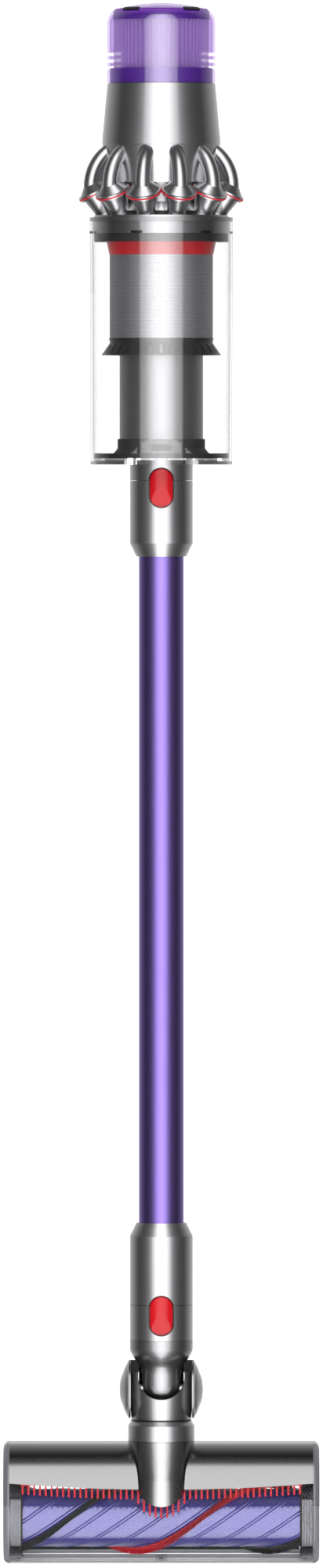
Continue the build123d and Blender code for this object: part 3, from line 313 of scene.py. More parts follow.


# painted shade on the elbow: where its metal is coloured dark, behind the pivot, beside the discs and in the
# hollow, in millimetres
elbowPaintedShade = {"behind": 1.5, "below": 2.0, "beside": 25.0, "hollow": 17.2, "tone": 0.012, "besideShare": 0.75}


def elbowNickelPaintedShade(name, tone, rough):
    finish = Finish(name, Metallic=1.0, Coat_Weight=1.0, Coat_IOR=1.8, Coat_Roughness=0.06)
    across = finish.along("X")
    depth = finish.along("Y") - axisY
    rear = (depth > elbowPaintedShade["behind"] * mm) * (finish.along("Z") > (pivotLevel - elbowPaintedShade["below"]) * mm)
    plate = across.calc("ABSOLUTE", across) > elbowPaintedShade["beside"] * mm
    hollow = (across * across + depth * depth) < (elbowPaintedShade["hollow"] * mm) ** 2
    # painted shade mask: fully dark behind the pivot and in the hollow, partly dark beside the discs
    dark = rear.calc("MAXIMUM", rear, hollow.calc("MAXIMUM", hollow, plate * elbowPaintedShade["besideShare"]))
    grain = finish.noise(2600, 2)
    # painted shade: the masked metal is coloured near black and loses its lacquer
    finish.feed(
        Base_Color=finish.blend(dark, grey(tone), grey(elbowPaintedShade["tone"])),
        Roughness=rough + (grain - 0.5) * 0.10,
        Coat_Weight=1 - dark)
    return finish.material


def mouldedPlastic(name, colour, rough, grainDepth=0.12, **constants):
    finish = Finish(name, **constants)
    cloud = finish.noise(55, 3)
    grain = finish.noise(1700, 2)
    darker = tuple(channel * 0.90 for channel in colour) + (1,)
    lighter = tuple(min(1, channel * 1.10) for channel in colour) + (1,)
    finish.feed(
        Base_Color=finish.blend(cloud, darker, lighter),
        Roughness=rough + (grain - 0.5) * 0.12 + (cloud - 0.5) * 0.04)
    finish.bump(grain, grainDepth, 0.0002)
    return finish.material


def clearPlastic(name, tint, rough, ior=1.46):
    finish = Finish(name, Transmission_Weight=1.0, IOR=ior)
    cloud = finish.noise(24, 2)
    edge = tuple(channel * 0.97 for channel in tint) + (1,)
    finish.feed(
        Base_Color=finish.blend(cloud, edge, tint + (1,)),
        Roughness=rough + cloud * 0.015)
    return finish.material


def thinPlastic(name, tint, gloss, rim, colour=(1, 1, 1), edge=(1, 1, 1), rough=0.03, sharp=5.0):
    # thin see-through wall: tinted light passes straight on, and the skin shines more towards the edges,
    # where its colour is also painted darker as a dark outline
    finish = Finish(name, Metallic=1.0)
    cloud = finish.noise(24, 2)
    film = finish.add("BsdfTransparent", {}, {"Color": tint + (1,)})
    slant = finish.add("LayerWeight", {}, {"Blend": 0.5}, "Facing")
    graze = slant.calc("POWER", slant, sharp)
    share = gloss + graze * (rim - gloss)
    # painted shade: towards grazing angles the skin's colour turns to the darker edge colour, drawing a dark
    # outline
    finish.feed(Base_Color=finish.blend(graze, colour + (1,), edge + (1,)), Roughness=rough + cloud * 0.02)
    skin = Wire(finish.tree, finish.shader.outputs[0])
    both = finish.add("MixShader", {}, {0: share, 1: film, 2: skin})
    finish.tree.links.new(both.socket, finish.tree.nodes["Material Output"].inputs["Surface"])
    return finish.material


def anodisedTube(name):
    finish = Finish(name, Metallic=1.0)
    cloud = finish.noise(9, 3, (1, 1, 0.08))
    grain = finish.noise(1500, 2, (1, 1, 0.03))  # drawn along the tube
    finish.feed(
        Base_Color=finish.blend(cloud, (0.20, 0.135, 0.44, 1), (0.25, 0.175, 0.52, 1)),
        Roughness=0.36 + (grain - 0.5) * 0.10)
    finish.bump(grain, 0.05, 0.0002)
    return finish.material


def wireMesh(name, pitch):
    # fine wires running round the shroud
    finish = Finish(name, Metallic=1.0)
    turns = finish.along("Z") * (2 * math.pi / (pitch * mm))
    wires = turns.calc("SINE", turns) * 0.5 + 0.5
    grain = finish.noise(2200, 2)
    finish.feed(
        Base_Color=finish.blend(wires, (0.34, 0.34, 0.36, 1), (0.54, 0.54, 0.56, 1)),
        Roughness=0.54 + (grain - 0.5) * 0.15)
    finish.bump(wires, 0.35, 0.0003)
    return finish.material


def pleatedCloth(name):
    finish = Finish(name, Specular_IOR_Level=0.2)
    weave = finish.noise(1900, 3)
    cloud = finish.noise(40, 3)
    finish.feed(
        Base_Color=finish.blend(cloud, (0.64, 0.60, 0.70, 1), (0.74, 0.70, 0.78, 1)),
        Roughness=0.8 + (weave - 0.5) * 0.2)
    finish.bump(weave, 0.25, 0.0003)
    return finish.material


def brushNap(name):
    finish = Finish(name, Metallic=0.35, Coat_Weight=1.0, Coat_IOR=1.85, Coat_Roughness=0.12)
    nap = finish.noise(1300, 4)
    cloud = finish.noise(30, 3)
    finish.feed(
        Base_Color=finish.blend(cloud, (0.026, 0.020, 0.24, 1), (0.034, 0.027, 0.29, 1)),
        Roughness=0.40 + (nap - 0.5) * 0.2)
    finish.bump(nap, 0.08, 0.0002)
    return finish.material


finishes = {
    "nickel": satinNickel("satinNickel", 0.38, 0.33),
    "collar": satinNickel("collarNickel", 0.44, 0.33),
    # the elbow's dark zones are painted shade
    "elbow": elbowNickelPaintedShade("elbowNickelPaintedShade", 0.38, 0.33),
    "neck": satinNickel("neckNickel", 0.30, 0.36),
    "inner": satinNickel("innerNickel", 0.26, 0.42, 0.5),
    "nickelDark": satinNickel("satinNickelDark", 0.24, 0.38),
    # the head's darker face tone is painted shade
    "head": headNickelPaintedShade("headNickelPaintedShade", 0.15, 0.34, 17.8, 0.26),
    "steel": satinNickel("turnedSteel", 0.55, 0.30, 0.0),
    "clearPurple": thinPlastic("clearPurple", (0.82, 0.72, 0.925), 0.11, 0.8, (1, 1, 1), (0.6, 0.5, 0.8)),
    "purple": mouldedPlastic("deepPurple", (0.16, 0.035, 0.36), 0.35),
    "pleats": pleatedCloth("filterCloth"),
    "copper": mouldedPlastic("windings", (0.62, 0.30, 0.14), 0.4, Metallic=1.0),
    "red": mouldedPlastic("glossRed", (0.54, 0.006, 0.012), 0.12, 0.02, Specular_IOR_Level=0.3),
    "redTrim": mouldedPlastic("redTrim", (0.56, 0.006, 0.014), 0.4, 0.05, Specular_IOR_Level=0.2),
    "redRubber": mouldedPlastic("redRubber", (0.60, 0.015, 0.03), 0.45, 0.1),
    "darkGrey": mouldedPlastic("darkGrey", (0.075, 0.075, 0.08), 0.32),
    "black": mouldedPlastic("blackPlastic", (0.008, 0.008, 0.009), 0.24, Specular_IOR_Level=0.3),
    "rubber": mouldedPlastic("blackRubber", (0.012, 0.012, 0.013), 0.6, 0.2, Specular_IOR_Level=0.25),
    "grey": mouldedPlastic("greyPlastic", (0.20, 0.20, 0.21), 0.38),
    "mesh": wireMesh("shroudMesh", 1.5),
    "clear": thinPlastic("clearBin", (0.985, 0.985, 0.99), 0.085, 1.0, (1, 1, 1), (0.55, 0.55, 0.57)),
    "window": thinPlastic("clearWindow", (0.985, 0.985, 0.99), 0.004, 1.0, (1, 1, 1), (0.30, 0.30, 0.32)),
    "dome": clearPlastic("clearDome", (0.97, 0.97, 0.98), 0.05, 1.45),
    "smoke": thinPlastic("clearSmoke", (0.34, 0.34, 0.36), 0.10, 1.0, (0.5, 0.5, 0.5), (0.10, 0.10, 0.11)),
    "ribbed": thinPlastic(
        "ribbedEnd", (0.58, 0.58, 0.60), 0.22, 1.0, (0.42, 0.42, 0.44), (0.30, 0.30, 0.31)),
    "wand": anodisedTube("purpleTube"),
    "board": mouldedPlastic("greenBoard", (0.03, 0.17, 0.08), 0.4),
    "cells": mouldedPlastic("cellWrap", (0.10, 0.20, 0.46), 0.35),
    "lamp": mouldedPlastic("chargeLamp", (0.55, 0.75, 0.95), 0.25, 0.02),
    "brush": brushNap("brushNap"),
    "bristleRed": mouldedPlastic("redBristle", (0.46, 0.008, 0.018), 0.5, Specular_IOR_Level=0.25),
    "bristleBlack": mouldedPlastic("blackBristle", (0.016, 0.016, 0.015), 0.45, Specular_IOR_Level=0.3),
}

wornBy = {
    "nickel": ["motor_housing", "cyclone_caps", "cyclone_cones", "neck_yoke", "pivot_caps"],
    "elbow": ["elbow_cup"],
    "collar": ["inlet_collar", "upper_collar", "lower_collar", "neck_collar", "swivel_collar"],
    "inner": ["inner_tube"],
    "head": ["head_shell"],
    "nickelDark": ["bin_frame"],
    "steel": ["motor_can", "motor_bearings", "fan_shaft", "handle_screws", "base_hinge_pin", "brush_motor"],
    "clearPurple": ["filter_cap"],
    "purple": ["filter_frame"],
    "pleats": ["filter_media"],
    "copper": ["motor_stator"],
    "red": ["shroud_band", "trigger", "bin_lever", "wand_button", "head_button"],
    "redTrim": ["comb"],
    "redRubber": ["cyclone_gasket"],
    "darkGrey": ["handle_left", "handle_right", "battery_case", "bin_slider"],
    "black": [
        "fan_impeller", "shroud_skirt", "battery_base", "wand_wiring", "brush_hubs", "wheel_left",
        "wheel_right"],
    "rubber": ["bin_seal", "tube_seal", "base_seal"],
    "grey": ["sole_plate"],
    "mesh": ["shroud_mesh"],
    "clear": ["bin_shell"],
    "window": ["head_window"],
    "dome": ["bin_base", "inlet_dome"],
    "smoke": ["end_cap_left", "end_cap_right"],
    "wand": ["wand_tube"],
    "board": ["control_board"],
    "cells": ["battery_cells"],
    "brush": ["brush_core"],
    "bristleRed": ["brush_red_strip"],
    "bristleBlack": ["brush_black_strip"],
}


def dress(piece, material, crease=18):
    piece.data.materials.clear()
    piece.data.materials.append(material)
    piece.data.polygons.foreach_set("use_smooth", [True] * len(piece.data.polygons))
    weld = piece.modifiers.new("weld", "WELD")
    weld.merge_threshold = 2 * hair
    split = piece.modifiers.new("split", "EDGE_SPLIT")
    split.split_angle = math.radians(crease)


for finishName, wearers in wornBy.items():
    for wearer in wearers:
        dress(nodes[wearer], finishes[finishName])
undressed = sorted(set(nodes) - {wearer for wearers in wornBy.values() for wearer in wearers})
print("nodes dressed, left over:", undressed)

# pieces that are modelled here


def keepPiece(bm, name, finish, body, stands=(), crease=30):
    bmesh.ops.remove_doubles(bm, verts=bm.verts, dist=hair)
    bmesh.ops.recalc_face_normals(bm, faces=bm.faces)
    mesh = bpy.data.meshes.new(name)
    bm.to_mesh(mesh)
    bm.free()
    piece = bpy.data.objects.new(name, mesh)
    scene.collection.objects.link(piece)
    dress(piece, finishes[finish], crease)
    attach(piece, body)
    if stands:
        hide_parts(*stands)


def loop(bm, points):
    # a closed outline of (radius, height) points in millimetres
    corners = [bm.verts.new((radius * mm, 0, height * mm)) for radius, height in points]
    return [bm.edges.new(pair) for pair in zip(corners, corners[1:] + corners[:1])]


def boundary(bm):
    return [edge for edge in bm.edges if edge.is_boundary]


def cornersOf(geom):
    return [part for part in geom if isinstance(part, bmesh.types.BMVert)]


def ontoAxis(bm):
    bmesh.ops.translate(bm, verts=bm.verts, vec=(0, axisY, 0))
    return bm


roundSteps = 96


def turned(points):
    bm = bmesh.new()
    edges = loop(bm, points)
    bmesh.ops.spin(
        bm, geom=bm.verts[:] + edges, cent=(0, 0, 0), axis=(0, 0, 1), dvec=(0, 0, 0),
        angle=2 * math.pi, steps=roundSteps, use_merge=True)
    return ontoAxis(bm)


def turnedAcross(points, side, spot):
    # a turned form laid along X at a spot, towards the right (1) or the left (-1)
    bm = turned(points)
    laid = Matrix.Rotation(side * math.pi / 2, 4, "Y") @ Matrix.Translation((0, -axisY, 0))
    bmesh.ops.transform(bm, matrix=Matrix.Translation(spot) @ laid, verts=bm.verts)
    return bm


def sector(bm, points, start, angle, steps):
    # part of a turned form, with closed ends; degrees from the right, anticlockwise seen from above
    edges = loop(bm, points)
    corners = list({corner for edge in edges for corner in edge.verts})
    turn = Matrix.Rotation(math.radians(start), 3, "Z")
    bmesh.ops.rotate(bm, verts=corners, cent=(0, 0, 0), matrix=turn)
    bmesh.ops.spin(
        bm, geom=corners + edges, cent=(0, 0, 0), axis=(0, 0, 1), dvec=(0, 0, 0),
        angle=math.radians(angle), steps=steps)
    bmesh.ops.holes_fill(bm, edges=boundary(bm), sides=len(points))


def softBlock(bm, size, middle, edge):
    made = bmesh.ops.create_cube(bm, size=1.0)["verts"]
    bmesh.ops.scale(bm, verts=made, vec=[side * mm for side in size])
    bmesh.ops.translate(bm, verts=made, vec=[place * mm for place in middle])
    rims = list({rim for corner in made for rim in corner.link_edges})
    bmesh.ops.bevel(
        bm, geom=rims, offset=edge * mm, affect="EDGES", segments=2, profile=0.5, material=-1)


def keepBlocks(blocks, name, finish, body):
    # blocks of (size, middle, edge) in millimetres, kept as one piece
    bm = bmesh.new()
    for size, middle, edge in blocks:
        softBlock(bm, size, middle, edge)
    keepPiece(bm, name, finish, body)


# dark rings in the gaps between parts that come apart or turn, open where a button sits
seamRings = {
    "inner": 20.3, "outer": 24.8, "thick": 0.26, "steps": 90,
    "rings": [  # name, body, level, degrees left open at the front
        ("wand_seam_ring", "wand", -151.8, 58), ("head_seam_ring", "neck", -811.3, 58),
        ("neck_seam_ring", "neck", -839.75, 0),
        ("elbow_seam_ring", "elbow", -903.7, 0), ("swivel_seam_ring", "elbow", -920.7, 0)],
}


def makeSeamRing(name, body, level, gap):
    low, high = level - seamRings["thick"] / 2, level + seamRings["thick"] / 2
    inner, outer = seamRings["inner"], seamRings["outer"]
    outline = [(inner, low), (outer, low), (outer, high), (inner, high)]
    if gap:
        bm = bmesh.new()
        sector(bm, outline, gap / 2 - 90, 360 - gap, seamRings["steps"])
        ontoAxis(bm)
    else:
        bm = turned(outline)
    keepPiece(bm, name, "black", body)


for ring in seamRings["rings"]:
    makeSeamRing(*ring)
print("seam rings made")

# neck: round-bottomed column on the pivot and the cone up to the collar, flatter from front to back
neckJoint = {
    "bore": 9.0,
    "rings": [  # height over the pivot, half width, half depth
        (-9.0, 9.2, 7.2), (-8.2, 11.0, 8.6), (-6.0, 13.4, 10.5), (-3.0, 14.9, 11.7), (1.0, 15.6, 12.2),
        (6.0, 15.7, 12.3), (12.2, 15.7, 12.3), (12.8, 16.0, 12.4), (13.4, 16.2, 12.6), (17.5, 16.8, 14.0),
        (21.0, 19.0, 17.0), (26.0, 22.6, 21.6), (30.6, 24.9, 24.9), (32.2, 25.3, 25.3),
        (39.4, 25.35, 25.35)],
}


def makeNeckJoint():
    rings = neckJoint["rings"]
    outline = [(width, pivotLevel + rise) for rise, width, depth in rings]
    bore = [(neckJoint["bore"], outline[-1][1]), (neckJoint["bore"], outline[0][1])]
    bm = turned(outline + bore)
    fromAxis = Matrix.Translation((0, -axisY, 0))
    for rise, width, depth in rings:
        level = (pivotLevel + rise) * mm
        ring = [corner for corner in bm.verts if abs(corner.co.z - level) < 0.01 * mm]
        bmesh.ops.scale(bm, verts=ring, vec=(1, depth / width, 1), space=fromAxis)
    keepPiece(bm, "neck_joint", "neck", "neck", ["neck_yoke"])


makeNeckJoint()

# elbow: a black rubber wall behind the neck standing in for the shade there, and dark washers under the
# pivot discs
elbowShadeWall = {
    "inner": 22.8, "outer": 24.2, "low": -6.0, "high": 20.5, "chamfer": 0.5,
    "from": 8, "to": 172, "steps": 48,
}
discWashers = {"radius": 21.5, "inner": 4.6, "from": 25.6, "to": 26.7}


def makeElbowTrim():
    inner, outer, chamfer = elbowShadeWall["inner"], elbowShadeWall["outer"], elbowShadeWall["chamfer"]
    low, high = pivotLevel + elbowShadeWall["low"], pivotLevel + elbowShadeWall["high"]
    outline = [(inner, low), (outer, low), (outer, high - chamfer), (outer - chamfer, high), (inner, high)]
    bm = bmesh.new()
    sector(bm, outline, elbowShadeWall["from"], elbowShadeWall["to"] - elbowShadeWall["from"], elbowShadeWall["steps"])
    # painted shade: a black sheet where the gap behind the neck lies in shade
    keepPiece(ontoAxis(bm), "elbow_shade_wall", "rubber", "elbow")
    inner, outer = discWashers["inner"], discWashers["radius"]
    first, last = discWashers["from"], discWashers["to"]
    outline = [(inner, first), (outer, first), (outer, last), (inner, last)]
    for name, side in (("disc_washer_left", -1), ("disc_washer_right", 1)):
        washer = turnedAcross(outline, side, (0, axisY, pivotLevel * mm))
        keepPiece(washer, name, "rubber", "elbow")


makeElbowTrim()
print("neck and elbow made")

# brush bar: smooth sleeve with thin twisted ridges, and two strips of tufts
brushPlan = {
    "points": 288, "pairs": 8, "ridgeAt": (2, 7), "radius": 23.1, "ridge": 0.4, "bore": 18.5, "lead": 211.0,
    "steps": 96, "crease": 60,
}
brushLow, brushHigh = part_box("brush_core")
brushLength = brushHigh[0] - brushLow[0]
brushTwist = -2 * math.pi * brushLength / (brushPlan["lead"] * mm)
ontoBrush = Matrix.Translation((
    brushLow[0], (brushLow[1] + brushHigh[1]) / 2, (brushLow[2] + brushHigh[2]) / 2,
)) @ Matrix.Rotation(math.pi / 2, 4, "Y")


def wind(bm, geom, steps, share=1.0, copies=False):
    bmesh.ops.spin(
        bm, geom=geom, cent=(0, 0, 0), axis=(0, 0, 1), dvec=(0, 0, brushLength * share / steps),
        angle=brushTwist * share, steps=steps, use_duplicate=copies)


def makeBrushSleeve():
    bm = bmesh.new()
    bmesh.ops.create_circle(bm, segments=brushPlan["points"], radius=brushPlan["radius"] * mm)
    bm.verts.index_update()
    spread = brushPlan["points"] // brushPlan["pairs"]
    ridges = [corner for corner in bm.verts if corner.index % spread in brushPlan["ridgeAt"]]
    swell = 1 + brushPlan["ridge"] / brushPlan["radius"]
    bmesh.ops.scale(bm, verts=ridges, vec=(swell, swell, 1))
    wind(bm, bm.verts[:] + bm.edges[:], brushPlan["steps"])
    ends = bmesh.ops.extrude_edge_only(bm, edges=boundary(bm))["geom"]
    shrink = brushPlan["bore"] / brushPlan["radius"]
    bmesh.ops.scale(bm, verts=cornersOf(ends), vec=(shrink, shrink, 1))
    bmesh.ops.transform(bm, matrix=ontoBrush, verts=bm.verts)
    keepPiece(bm, "brush_sleeve", "brush", "brush", ["brush_core"], brushPlan["crease"])


makeBrushSleeve()

tuftPlan = {
    "perRow": 240, "rows": (-1.9, -0.95, 0.0, 0.95, 1.9), "root": 24.4, "tip": 29.3, "shorter": 0.25,
    "foot": 0.50, "point": 0.30, "footWidth": 5.0, "footLow": 23.8, "footHigh": 25.2, "stray": 0.22,
    "strayZone": 1.5, "fromEnd": 0.5, "sides": 4, "redStart": 152.1,
}


def makeTufts(name, start, finish, node):
    bm = bmesh.new()
    for across in tuftPlan["rows"]:
        reach = tuftPlan["tip"] - tuftPlan["shorter"] * abs(across) - tuftPlan["root"]
        tuft = bmesh.ops.create_cone(
            bm, cap_ends=True, segments=tuftPlan["sides"], radius1=tuftPlan["foot"] * mm,
            radius2=tuftPlan["point"] * mm, depth=reach * mm)["verts"]
        middle = ((tuftPlan["root"] + reach / 2) * mm, across * mm, tuftPlan["fromEnd"] * mm)
        stand = Matrix.Translation(middle)
        bmesh.ops.transform(bm, matrix=stand @ Matrix.Rotation(math.pi / 2, 4, "Y"), verts=tuft)
        parts = list({part for corner in tuft for part in (*corner.link_edges, *corner.link_faces)}) + tuft
        wind(bm, parts, tuftPlan["perRow"] - 1, 1 - 1 / tuftPlan["perRow"], True)
    stray = random.Random(name)
    for corner in bm.verts:
        if corner.co.xy.length > (tuftPlan["tip"] - tuftPlan["strayZone"]) * mm:
            corner.co += Vector([stray.uniform(-1, 1) * tuftPlan["stray"] * mm for axis in range(3)])
    half = tuftPlan["footWidth"] / 2 * mm
    low, high = tuftPlan["footLow"] * mm, tuftPlan["footHigh"] * mm
    spots = ((low, -half, 0), (high, -half, 0), (high, half, 0), (low, half, 0))
    corners = [bm.verts.new(spot) for spot in spots]
    rim = [bm.edges.new(pair) for pair in zip(corners, corners[1:] + corners[:1])]
    wind(bm, corners + rim, brushPlan["steps"])
    bmesh.ops.holes_fill(bm, edges=boundary(bm), sides=len(spots))
    bmesh.ops.transform(bm, matrix=ontoBrush @ Matrix.Rotation(start, 4, "Z"), verts=bm.verts)
    keepPiece(bm, name, finish, "brush", [node])


redStart = math.radians(tuftPlan["redStart"])
makeTufts("red_tufts", redStart, "bristleRed", "brush_red_strip")
makeTufts("black_tufts", redStart + math.pi, "bristleBlack", "brush_black_strip")
print("brush made")

# head: rubber flap behind the brush, rails and clips on the front strip, grooved rings at the ends
mouthFlap = {"size": (222.0, 1.4, 5.6), "middle": (0, -135.4, -1007.0), "edge": 0.3}
stripRails = {
    "length": 236.0, "face": -142.0, "sunk": 0.1, "edge": 0.25,
    "bars": [(1.2, 0.9, -1012.6), (0.8, 0.6, -1016.6)],  # depth, height, level
}
stripClips = {
    "at": (-114.6, 0.0, 114.6), "level": -1016.4,
    "clip": ((9.0, 1.4, 3.6), 1.2, 0.5), "screw": ((4.0, 1.0, 1.4), 1.7, 0.3),  # size, reach, edge
}
endPlates = [(13.0, 111.25), (30.2, 111.25), (30.2, 112.4), (13.0, 112.4)]
endRibs = {
    "from": 112.6, "to": 121.2, "count": 4, "groove": 0.6, "inner": 30.4, "outer": 32.0,
    "top": 0.6, "valley": (0.75, 0.95),  # shares of a rib's pitch
}


def atClips(kind):
    size, reach, edge = stripClips[kind]
    depth = stripRails["face"] - reach
    return [(size, (across, depth, stripClips["level"]), edge) for across in stripClips["at"]]


def makeHeadTrim():
    flap = (mouthFlap["size"], mouthFlap["middle"], mouthFlap["edge"])
    keepBlocks([flap], "mouth_flap", "rubber", "head")
    bars = []
    for depth, height, level in stripRails["bars"]:
        front = stripRails["face"] - depth / 2 + stripRails["sunk"]
        bars.append(((stripRails["length"], depth, height), (0, front, level), stripRails["edge"]))
    keepBlocks(bars, "strip_rails", "steel", "head")
    keepBlocks(atClips("clip"), "strip_clips", "grey", "head")
    keepBlocks(atClips("screw"), "clip_screws", "black", "head")


makeHeadTrim()


def makeEnd(sideName, side):
    first, last = endRibs["from"], endRibs["to"]
    pitch = (last - first) / endRibs["count"]
    outer = endRibs["outer"]
    outline = [(endRibs["inner"], last), (endRibs["inner"], first)]
    for index in range(endRibs["count"]):
        left = first + index * pitch
        outline += [(outer, left), (outer, left + pitch * endRibs["top"])]
        outline += [(outer - endRibs["groove"], left + pitch * share) for share in endRibs["valley"]]
    spot = (0, ontoBrush.translation.y, ontoBrush.translation.z)
    keepPiece(turnedAcross(outline, side, spot), "end_ribs_" + sideName, "ribbed", "head")
    plate = turnedAcross(endPlates, side, spot)
    keepPiece(plate, "end_plate_" + sideName, "rubber", "head")


makeEnd("right", 1)
makeEnd("left", -1)
print("head trim made")

# filter: dark end ring under the crown with two tabs
crownRing = [(30.0, 220.1), (38.4, 220.1), (38.4, 223.4), (36.6, 225.0), (30.0, 225.0)]
crownTabs = {
    "arc": 24, "at": (-52, 28), "steps": 16,
    "outline": [(36.2, 224.4), (38.9, 223.2), (39.3, 224.4), (37.0, 226.0)],
}


def makeCrown():
    keepPiece(turned(crownRing), "filter_end_ring", "purple", "filter")
    bm = bmesh.new()
    for start in crownTabs["at"]:
        sector(bm, crownTabs["outline"], start - 90, crownTabs["arc"], crownTabs["steps"])
    keepPiece(ontoAxis(bm), "filter_tabs", "black", "filter")


makeCrown()

# cyclone core between the fingers, and the bayonet lugs on the bin's rim
cycloneCore = [(26.0, 64.0), (43.0, 64.0), (44.0, 92.0), (26.0, 92.0)]
rimLugs = {"count": 6, "first": -20.5, "radius": 57.0, "level": 46.2, "size": (9.0, 1.4, 2.0), "edge": 0.4}
keepPiece(turned(cycloneCore), "cyclone_core", "nickelDark", "machine")


def makeRimLugs():
    bm = bmesh.new()
    softBlock(bm, rimLugs["size"], (0, -rimLugs["radius"], rimLugs["level"]), rimLugs["edge"])
    share = (rimLugs["count"] - 1) / rimLugs["count"]
    turn = Matrix.Rotation(math.radians(rimLugs["first"]), 3, "Z")
    bmesh.ops.rotate(bm, verts=bm.verts, cent=(0, 0, 0), matrix=turn)
    bmesh.ops.spin(
        bm, geom=bm.verts[:] + bm.edges[:] + bm.faces[:], cent=(0, 0, 0), axis=(0, 0, 1), dvec=(0, 0, 0),
        angle=2 * math.pi * share, steps=rimLugs["count"] - 1, use_duplicate=True)
    keepPiece(ontoAxis(bm), "rim_lugs", "black", "machine")


makeRimLugs()
print("cyclone trim made")

# catch buttons: round-ended, curved like a pill and cut slantwise into a scoop, each in a dark gasket
buttonPlan = {
    "half": 9.35, "tall": 15.5, "front": 26.0, "curve": 17.0, "back": 20.2, "travel": 2.6, "sides": 64,
    "rings": (0.3, 0.5, 1.0, 1.2, 1.2, 1.2, 1.2, 1.2), "edge": 0.8, "rim": 0.7,
    "scoopTop": 1.9, "slope": 0.17, "dish": 1.2, "crease": 24,
}
gasketPlan = {"half": 10.1, "tall": 16.2, "width": 0.62, "radius": 25.15, "thick": 2.0}


def roundEnded(bm, half, tall):
    bmesh.ops.create_circle(bm, cap_ends=True, segments=buttonPlan["sides"], radius=half * mm)
    for way in (-1, 1):
        end = [corner for corner in bm.verts if corner.co.y * way > hair]
        bmesh.ops.translate(bm, verts=end, vec=(0, way * (tall - half) * mm, 0))
    bm.faces.ensure_lookup_table()
    return bm.faces[0]


def makeButton(name, node):
    low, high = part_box(node)
    level = (low[2] + high[2]) / 2
    half, curve = buttonPlan["half"] * mm, buttonPlan["curve"] * mm
    front = axisY - buttonPlan["front"] * mm
    straight = (buttonPlan["tall"] - buttonPlan["half"]) * mm
    bm = bmesh.new()
    face = roundEnded(bm, buttonPlan["half"], buttonPlan["tall"])
    for ring in buttonPlan["rings"]:
        bmesh.ops.inset_region(
            bm, faces=[face], thickness=ring * mm, use_boundary=True, use_even_offset=True)
    for corner in bm.verts:
        across, up = corner.co.x, corner.co.y
        inside = half - math.hypot(across, max(abs(up) - straight, 0))
        drop = buttonPlan["edge"] * mm * max(0, 1 - inside / (buttonPlan["rim"] * mm)) ** 2
        corner.co = (across, front + curve - math.sqrt(curve ** 2 - across ** 2) + drop, level + up)
    base = bmesh.ops.extrude_face_region(bm, geom=bm.faces[:])["geom"]
    for corner in cornersOf(base):
        bend = math.sqrt((buttonPlan["back"] * mm) ** 2 - corner.co.x ** 2)
        corner.co.y = axisY - bend - buttonPlan["travel"] * mm
    cut = bmesh.ops.bisect_plane(
        bm, geom=bm.verts[:] + bm.edges[:] + bm.faces[:], dist=hair,
        plane_co=(0, front, level + buttonPlan["scoopTop"] * mm),
        plane_no=(0, -1, -buttonPlan["slope"]), clear_outer=True)["geom_cut"]
    rim = [part for part in cut if isinstance(part, bmesh.types.BMEdge)]
    scoop = bmesh.ops.edgeloop_fill(bm, edges=rim)["faces"]
    bmesh.ops.recalc_face_normals(bm, faces=bm.faces)
    bmesh.ops.poke(bm, faces=scoop, offset=-buttonPlan["dish"] * mm, center_mode="MEAN_WEIGHTED")
    keepPiece(bm, name, "red", node, [node], buttonPlan["crease"])
    return level


def makeGasket(name, body, level):
    bm = bmesh.new()
    face = roundEnded(bm, gasketPlan["half"], gasketPlan["tall"])
    bmesh.ops.inset_region(
        bm, faces=[face], thickness=gasketPlan["width"] * mm, use_boundary=True, use_even_offset=True)
    bmesh.ops.delete(bm, geom=[face], context="FACES_ONLY")
    radius = gasketPlan["radius"] * mm
    for corner in bm.verts:
        across, up = corner.co.x, corner.co.y
        corner.co = (across, axisY - math.sqrt(radius ** 2 - across ** 2), level + up)
    base = bmesh.ops.extrude_face_region(bm, geom=bm.faces[:])["geom"]
    bmesh.ops.translate(bm, verts=cornersOf(base), vec=(0, gasketPlan["thick"] * mm, 0))
    keepPiece(bm, name, "rubber", body)


makeGasket("wand_gasket", "wand", makeButton("wand_catch", "wand_button"))
makeGasket("head_gasket", "neck", makeButton("head_catch", "head_button"))
print("buttons made")

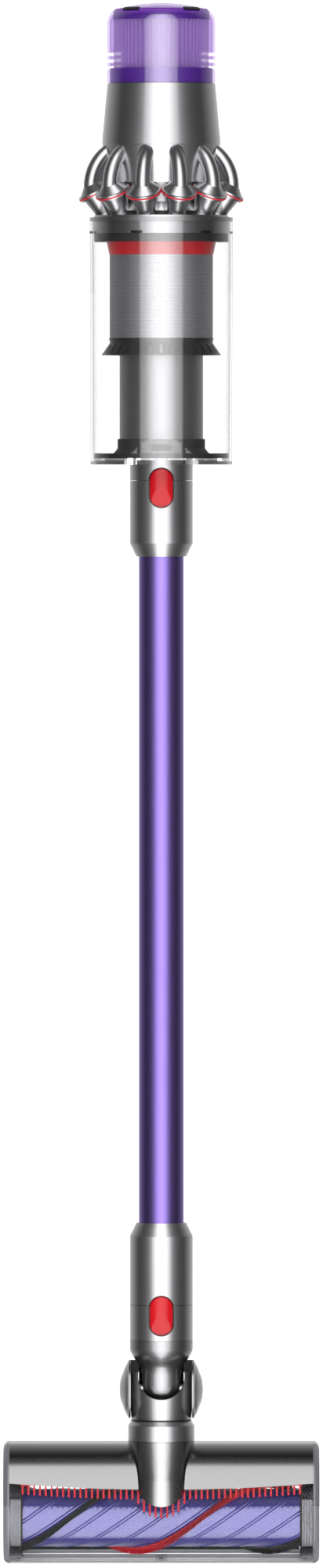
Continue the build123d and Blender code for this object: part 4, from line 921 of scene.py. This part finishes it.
# battery: seam beside the pack, side latches, charge lights and the charging socket
batteryTrim = {
    "seam": (45.3, 43.9, 0.7), "seamAt": 118.0, "seamEdge": 0.3,
    "latch": (1.6, 16.0, 11.0), "latchAt": (22.6, 3.0, 126.5), "latchEdge": 0.6,
    "grips": 4, "grip": (0.5, 12.8, 0.7), "gripOut": 0.9, "gripEdge": 0.2,
    "light": (0.8, 2.2, 5.0), "lightSteps": (-5.0, 0.0, 5.0), "lightAt": (22.5, 40.0), "lightEdge": 0.3,
    "socket": (13.0, 8.0, 1.0), "socketUp": 0.2, "socketEdge": 0.4,
    "pin": (1.4, 3.6, 1.2), "pinSteps": (-3.6, 0.0, 3.6), "pinUp": -0.1, "pinEdge": 0.2,
}


def makeBatteryTrim():
    seam = (batteryTrim["seam"], (0, 0, batteryTrim["seamAt"]), batteryTrim["seamEdge"])
    keepBlocks([seam], "battery_seam", "black", "machine")
    latches = []
    out, across, level = batteryTrim["latchAt"]
    tall = batteryTrim["latch"][2]
    for side in (-1, 1):
        latches.append((batteryTrim["latch"], (side * out, across, level), batteryTrim["latchEdge"]))
        for index in range(batteryTrim["grips"]):
            rib = level - tall / 2 + (index + 1) * tall / (batteryTrim["grips"] + 1)
            spot = (side * (out + batteryTrim["gripOut"]), across, rib)
            latches.append((batteryTrim["grip"], spot, batteryTrim["gripEdge"]))
    keepBlocks(latches, "battery_latches", "grey", "machine")
    beside, level = batteryTrim["lightAt"]
    lights = [
        (batteryTrim["light"], (beside, step, level), batteryTrim["lightEdge"])
        for step in batteryTrim["lightSteps"]]
    keepBlocks(lights, "charge_lights", "lamp", "machine")
    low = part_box("battery_base")[0][2] / mm
    socket = (batteryTrim["socket"], (0, 0, low + batteryTrim["socketUp"]), batteryTrim["socketEdge"])
    keepBlocks([socket], "charge_socket", "rubber", "machine")
    pins = [
        (batteryTrim["pin"], (step, 0, low + batteryTrim["pinUp"]), batteryTrim["pinEdge"])
        for step in batteryTrim["pinSteps"]]
    keepBlocks(pins, "charge_pins", "copper", "machine")


makeBatteryTrim()
print("battery trim made")
